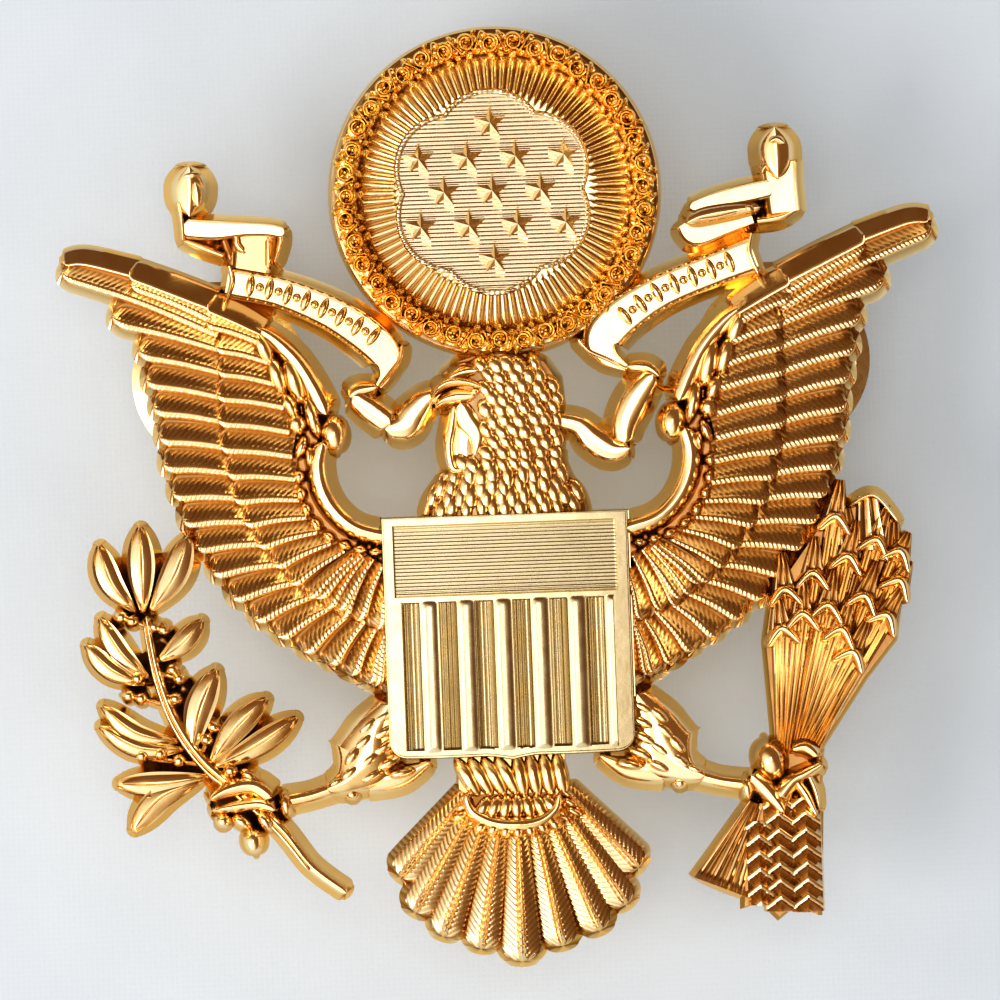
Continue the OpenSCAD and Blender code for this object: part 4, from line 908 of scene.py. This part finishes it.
# The plate under the fan carries heavy painted shade.
tail = [with_painted_shade(slab([[-3.0, -25.6], [2.8, -25.6], [3.0, -27.0], [5.6, -30.6], [5.0, -33.4], [0, -35.6],
                    [-5.0, -33.4], [-5.6, -30.6], [-3.2, -27.0]], 1.1, skirt=0.1), 0.9)]
fan = [((3.2, -27.5), (7.7, -32.7), 2.35, 2.0), ((2.85, -28.4), (6.85, -35.0), 2.25, 2.12),
       ((2.1, -29.1), (5.1, -36.6), 2.3, 2.24), ((1.15, -29.5), (2.65, -37.5), 2.4, 2.36)]
tail += [tail_feather(np.array(root) * (side, 1), np.array(tip) * (side, 1), 1.15, wide, high)
         for root, tip, wide, high in fan for side in (-1, 1)]
tail.append(tail_feather((0, -29.6), (0, -38.4), 1.2, 2.7, 2.5))
# The collar's two plates carry painted shade.
tail += [
    with_painted_shade(slab([[-3.7, -25.1], [3.2, -25.1], [3.0, -27.2], [2.4, -27.9], [-2.6, -27.9], [-3.7, -27.1]],
               2.15, skirt=0.25), 0.6),
    with_painted_shade(slab([[-2.9, -27.5], [2.6, -27.5], [2.3, -28.6], [1.2, -29.3], [-1.4, -29.3], [-2.6, -28.6]], 2.3,
               skirt=0.05), 1.0),
    tube([[-3.3, -27.5, 0.7], [-2.9, -28.6, 1.0], [-1.6, -29.35, 1.25], [0, -29.55, 1.3], [1.5, -29.35, 1.25],
          [2.5, -28.6, 1.0], [2.8, -27.6, 0.6]], 70, 1.6, 3.15, m=15, ends=0.06)]
for i in range(8):
    x = -3.3 + 0.86 * i
    slant = 0.55 if x < 0 else 0.18
    tail.append(oval((x + 0.15, -26.35), (slant, -1), 3.0, 1.05, 2.05, 2.95, lean=0.1, n=21, m=11,
                     skirt=0.05))
tail += [oval((x, -29.75 - 0.22 * np.cos(x)), (0.4 * x, -1), 1.1, 0.8, 2.2, 3.15, n=13, m=9, skirt=0.08)
         for x in np.linspace(-2.4, 2.4, 7)]
tail += [oval((x, -28.35), (0.3 * x, -1), 1.7, 0.9, 2.2, 2.9, lean=0.1, n=13, m=9, skirt=0.05)
         for x in np.linspace(-2.2, 2.2, 7)]
tail += [oval((side * (3.2 + 0.25 * i), -27.6 - 0.62 * i), (side * 0.9, -0.5), 1.2, 0.5, 2.0, 2.7, m=7,
              skirt=0.08)
         for i in range(3) for side in (-1, 1)]
struck_piece("tail_fan", [bowed(shell, 0.055) for shell in tail])


# Branch. A curved stem of two ridges with thirteen pointed leaves, each creased down its middle,
# and round berries on short twigs.
def leaf(foot, tip, wide, bow=0.0):
    """A leaf: half width wide/2 sin(pi u^1.28)^0.68, blunter at the tip than at the foot, under a
    roof that peaks on a fine midrib and ends in a thin rolled rim."""
    foot, tip = np.array(foot, float), np.array(tip, float)
    run = tip - foot
    bend = bow * np.array([-run[1], run[0]])
    path = course([foot, foot + run / 2 + bend, tip], 40)[0]
    u = np.linspace(0, 1, 40)
    half = 0.09 + wide / 2 * np.sin(np.pi * np.clip(u, 0.005, 0.992) ** 1.28) ** 0.68
    v = np.array([-1, -0.93, -0.84, -0.7, -0.45, -0.2, -0.08, 0, 0.08, 0.2, 0.45, 0.7, 0.84, 0.93, 1])
    across = np.interp(np.abs(v), [0, 0.08, 0.2, 0.7, 0.84, 0.93, 1],
                       [0.46, 0.36, 0.36, 0.16, 0.24, 0.26, -0.1])
    depth = 1.55 + 0.45 * np.sin(np.pi * u)[:, None] ** 0.5 + across[None, :]
    # Painted shade along the crease beside the midrib, in the hollow inside the rim, and a little on the
    # rim's outer fall.
    dark = np.interp(np.abs(v), [0, 0.08, 0.2, 0.6, 0.75, 0.9, 1], [0, 0.4, 0.0, 0.0, 0.45, 0, 0.3])
    return with_painted_shade(struck(path, half, depth, v, skirt=0.40, pinch=0.5), dark[None, :] * np.ones((40, 1)))


leaves = [
    [(-24.2, -14.9), (-26.4, -10.5), 1.6, 0.10], [(-23.7, -15.0), (-23.7, -9.4), 1.75, 0.0],
    [(-23.2, -14.9), (-20.6, -10.1), 1.8, -0.06], [(-23.5, -19.2), (-26.5, -15.2), 1.35, 0.08],
    [(-23.7, -19.6), (-27.5, -16.9), 1.3, 0.10], [(-22.8, -18.1), (-19.9, -15.6), 1.45, -0.06],
    [(-20.9, -24.2), (-19.1, -18.8), 1.9, 0.06], [(-19.7, -24.9), (-15.9, -20.8), 1.6, 0.05],
    [(-19.5, -25.1), (-14.0, -22.1), 1.55, -0.04], [(-21.7, -23.4), (-26.6, -20.9), 1.25, 0.12],
    [(-21.4, -23.9), (-26.8, -22.2), 1.25, 0.12], [(-19.8, -25.7), (-25.8, -26.0), 1.6, 0.04],
    [(-20.4, -26.0), (-24.9, -29.1), 1.6, -0.12]]
stem = [[-11.2, -33.55], [-13.4, -31.8], [-15.2, -29.4], [-17.4, -27.2], [-20.0, -24.9], [-21.8, -22.2],
        [-22.9, -19.0], [-23.5, -15.2]]
stem_wide = [0.95, 1.0, 1.05, 1.1, 1.05, 0.95, 0.85, 0.6]
branch = [tube([[*p, w] for p, w in zip(stem, stem_wide)], 150, 1.0, 2.3, skirt=0.35, ends=0.012),
          tube([[p[0] - 0.2, p[1] - 0.2, 0.4 * w] for p, w in zip(stem[1:], stem_wide[1:])], 120, 1.7, 2.55,
               skirt=0.1, ends=0.03)]
branch += [leaf(*one) for one in leaves]
berries = [
    (-25.1, -15.2), (-24.4, -15.5), (-23.0, -15.9), (-22.4, -16.1), (-21.9, -18.7), (-21.5, -19.3),
    (-21.8, -20.6), (-24.2, -19.2), (-24.8, -20.3), (-24.0, -20.5), (-24.1, -24.2), (-22.9, -24.1),
    (-21.7, -24.6), (-19.4, -22.5), (-19.9, -23.3)]
branch += [oval(at, (1, 0), 1.15, 1.05, 1.1, 2.6, n=17, m=11, skirt=0.2) for at in berries]
twigs = [((-25.0, -15.2), (-23.4, -15.9)), ((-22.9, -18.9), (-21.6, -19.3)),
         ((-22.5, -20.9), (-21.8, -20.7)), ((-24.7, -20.3), (-22.5, -21.0)),
         ((-24.2, -24.3), (-20.4, -24.9)), ((-19.4, -22.4), (-20.3, -24.3))]
branch += [tube([[*a, 0.5], [*b, 0.5]], 12, 1.0, 1.9, m=7, skirt=0.2) for a, b in twigs]
struck_piece("branch", branch)


# Arrow sheaf. Straight shafts that meet in the talon, three-cornered heads like folded chevrons in
# staggered rows, and below the talon a flat vane beside three columns of chevron feathers.
def barbs(point, back, reach, wide, high):
    """The lower edge of an arrowhead: a bright round-backed bar bent over the shaft at its middle."""
    side = np.array([-back[1], back[0]])
    ends = [point + way * wide / 2 * side + reach * back for way in (-1, 1)]
    return tube([[*ends[0], 0.50], [*(point + 0.05 * back), 0.80], [*ends[1], 0.50]],
                30, high - 1.1, high, m=11, skirt=0.12, ends=0.08)


def shaft(top, foot, wide_top, wide_foot, low, high, painted_shade_strength=0.35):
    """A straight shaft of three fine ridges: depth high + 0.1 cos(3 pi v), falling past |v| = 0.8."""
    path = course([top, foot], 40)[0]
    u = np.linspace(0, 1, 40)
    v = np.linspace(-1, 1, 19)[None, :]
    depth = high + 0.10 * np.cos(3 * np.pi * v) - (high - low) * np.clip(np.abs(v) - 0.8, 0, 1) / 0.2
    # Painted shade between the three ridges and along the fall at each side, on a base share given per shaft.
    dark = painted_shade_strength - 0.35 * np.cos(3 * np.pi * v) + 0.3 * (np.abs(v) > 0.85)
    half = (wide_top + (wide_foot - wide_top) * u) / 2
    shell = struck(path, half, depth, v[0], skirt=0.08)
    return with_painted_shade(shell, np.clip(dark, 0, 1) * np.ones((40, 1)))


grip = np.array([18.3, -27.0])
heads = [(21.3, -10.3), (23.9, -11.9), (25.4, -12.7), (19.7, -13.9), (22.0, -12.9), (25.3, -14.6),
         (17.8, -14.9), (20.6, -16.0), (23.0, -15.5), (24.4, -16.8), (17.5, -17.4), (18.9, -16.5),
         (21.4, -17.6), (22.1, -19.1)]
# The plate under the arrows carries heavy painted shade.
sheaf = [with_painted_shade(slab([[16.9, -25.4], [16.5, -18.3], [17.0, -15.4], [19.4, -12.2], [21.0, -10.0], [23.8, -9.2],
                     [25.2, -10.9], [25.6, -13.0], [25.3, -15.2], [24.8, -18.4], [22.8, -20.8], [19.8, -25.2],
                     [19.6, -28.6], [15.6, -28.6]], 1.3, skirt=0.3), 0.9),
         shaft((23.4, -9.1), (23.6, -12.6), 1.5, 2.5, 1.3, 1.9, 0.7),
         shaft((25.0, -10.9), (24.9, -13.4), 0.8, 1.7, 1.3, 1.8, 0.8),
         shaft((21.9, -9.9), (22.2, -12.9), 0.9, 1.6, 1.3, 1.75, 0.7),
         tube([[22.2, -9.75, 0.35], [23.8, -9.1, 0.45], [25.3, -10.9, 0.35]], 30, 1.4, 2.3, ends=0.06)]
for n, point in enumerate(np.array(heads)):
    back = (grip - point) / np.linalg.norm(grip - point)
    lift = 0.07 * n
    foot = np.array([17.15 + 2.3 * (point[0] - 17.6) / 8.0, -25.6])
    sheaf.append(shaft(point + 0.3 * back, foot, 1.45, 0.50, 1.3, 1.60 + 0.5 * lift))
    body = min(2.3, 0.3 + 1.2 * (26.2 - point[0]))
    sheaf.append(shaft(point - body * back, point + 0.5 * back, 0.5, 1.85, 1.3, 1.85 + 0.8 * lift, 0.62))
    sheaf.append(barbs(point, back, 1.15, 2.15, 2.45 + 0.9 * lift))
vane = np.linspace(0, 1, 26)
vane_path = np.array([15.6, -28.8]) + vane[:, None] * np.array([-2.3, -5.4])
vane_v = np.linspace(-1, 1, 61)[None, :]
streaks = np.abs(np.sin(11.5 * np.pi * vane_v)) * np.ones((26, 1))
vane_depth = 1.75 + 0.45 * (-vane_v) + 0.12 * streaks + 0.3 * np.clip(vane[:, None] - 0.93, 0, 1) / 0.07
# Painted shade on the vane, lighter on its streaks' ridges, and heavy on the plate beside it.
sheaf.append(with_painted_shade(struck(vane_path, 0.65 + 1.55 * vane, vane_depth, vane_v[0], skirt=0.35),
                   np.clip((0.80 - 0.45 * streaks) * (vane[:, None] < 0.94), 0, 1)))
sheaf.append(with_painted_shade(slab([[15.2, -28.8], [14.6, -33.6], [14.5, -35.4], [15.6, -34.9], [16.7, -36.1],
                         [17.7, -35.3], [19.2, -36.1], [19.6, -28.6]], 1.6, skirt=0.35), 0.85))


def chevrons(x, top, foot, reach, pitch=1.08):
    """A column of overlapping feather tips: the phase p is (top - z - 0.75 |v| reach) / pitch with its
    whole part dropped, and the depth is 1.75 + 0.6 (p / 0.72)^1.6 up to a level lip and a drop."""
    z = np.linspace(top, foot, 120)[:, None]
    v = np.linspace(-1, 1, 21)[None, :]
    phase = ((top - z - 0.75 * reach * np.abs(v)) / pitch) % 1
    depth = 1.75 + 0.60 * np.clip(phase / 0.72, 0, 1)**1.6 - 0.10 * np.abs(v)
    # Painted shade: heaviest just under each lip, where the feather above overhangs, fading to none on the
    # lip.
    dark = np.interp(phase, [0, 0.3, 0.6, 0.70, 0.76, 1], [0.95, 0.7, 0.45, 0.3, 0, 0])
    path = np.column_stack([np.full(120, x), z[:, 0]])
    return with_painted_shade(struck(path, np.full(120, reach), depth, v[0], skirt=0.15), dark)


sheaf += [chevrons(15.55, -29.9, -35.3, 0.8), chevrons(16.85, -28.5, -35.75, 0.95),
          chevrons(18.62, -28.5, -35.85, 0.95)]
struck_piece("arrow_sheaf", sheaf)


# Fittings behind. Posts soldered on the back, rivets through the breast, and butterfly clutches of
# pressed and tumbled brass. The breast plate's own back shows between them.
fitting_brass = metal("tumbled_brass", (0.70, 0.50, 0.20), (0.86, 0.66, 0.30), 0.22, 0.20, 0.00005,
                      tone_scale=200.0, mark_scale=1400.0)
for name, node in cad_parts.items():
    node.data.materials.clear()
    node.data.materials.append(polished_gold if name == "breast_plate" else fitting_brass)
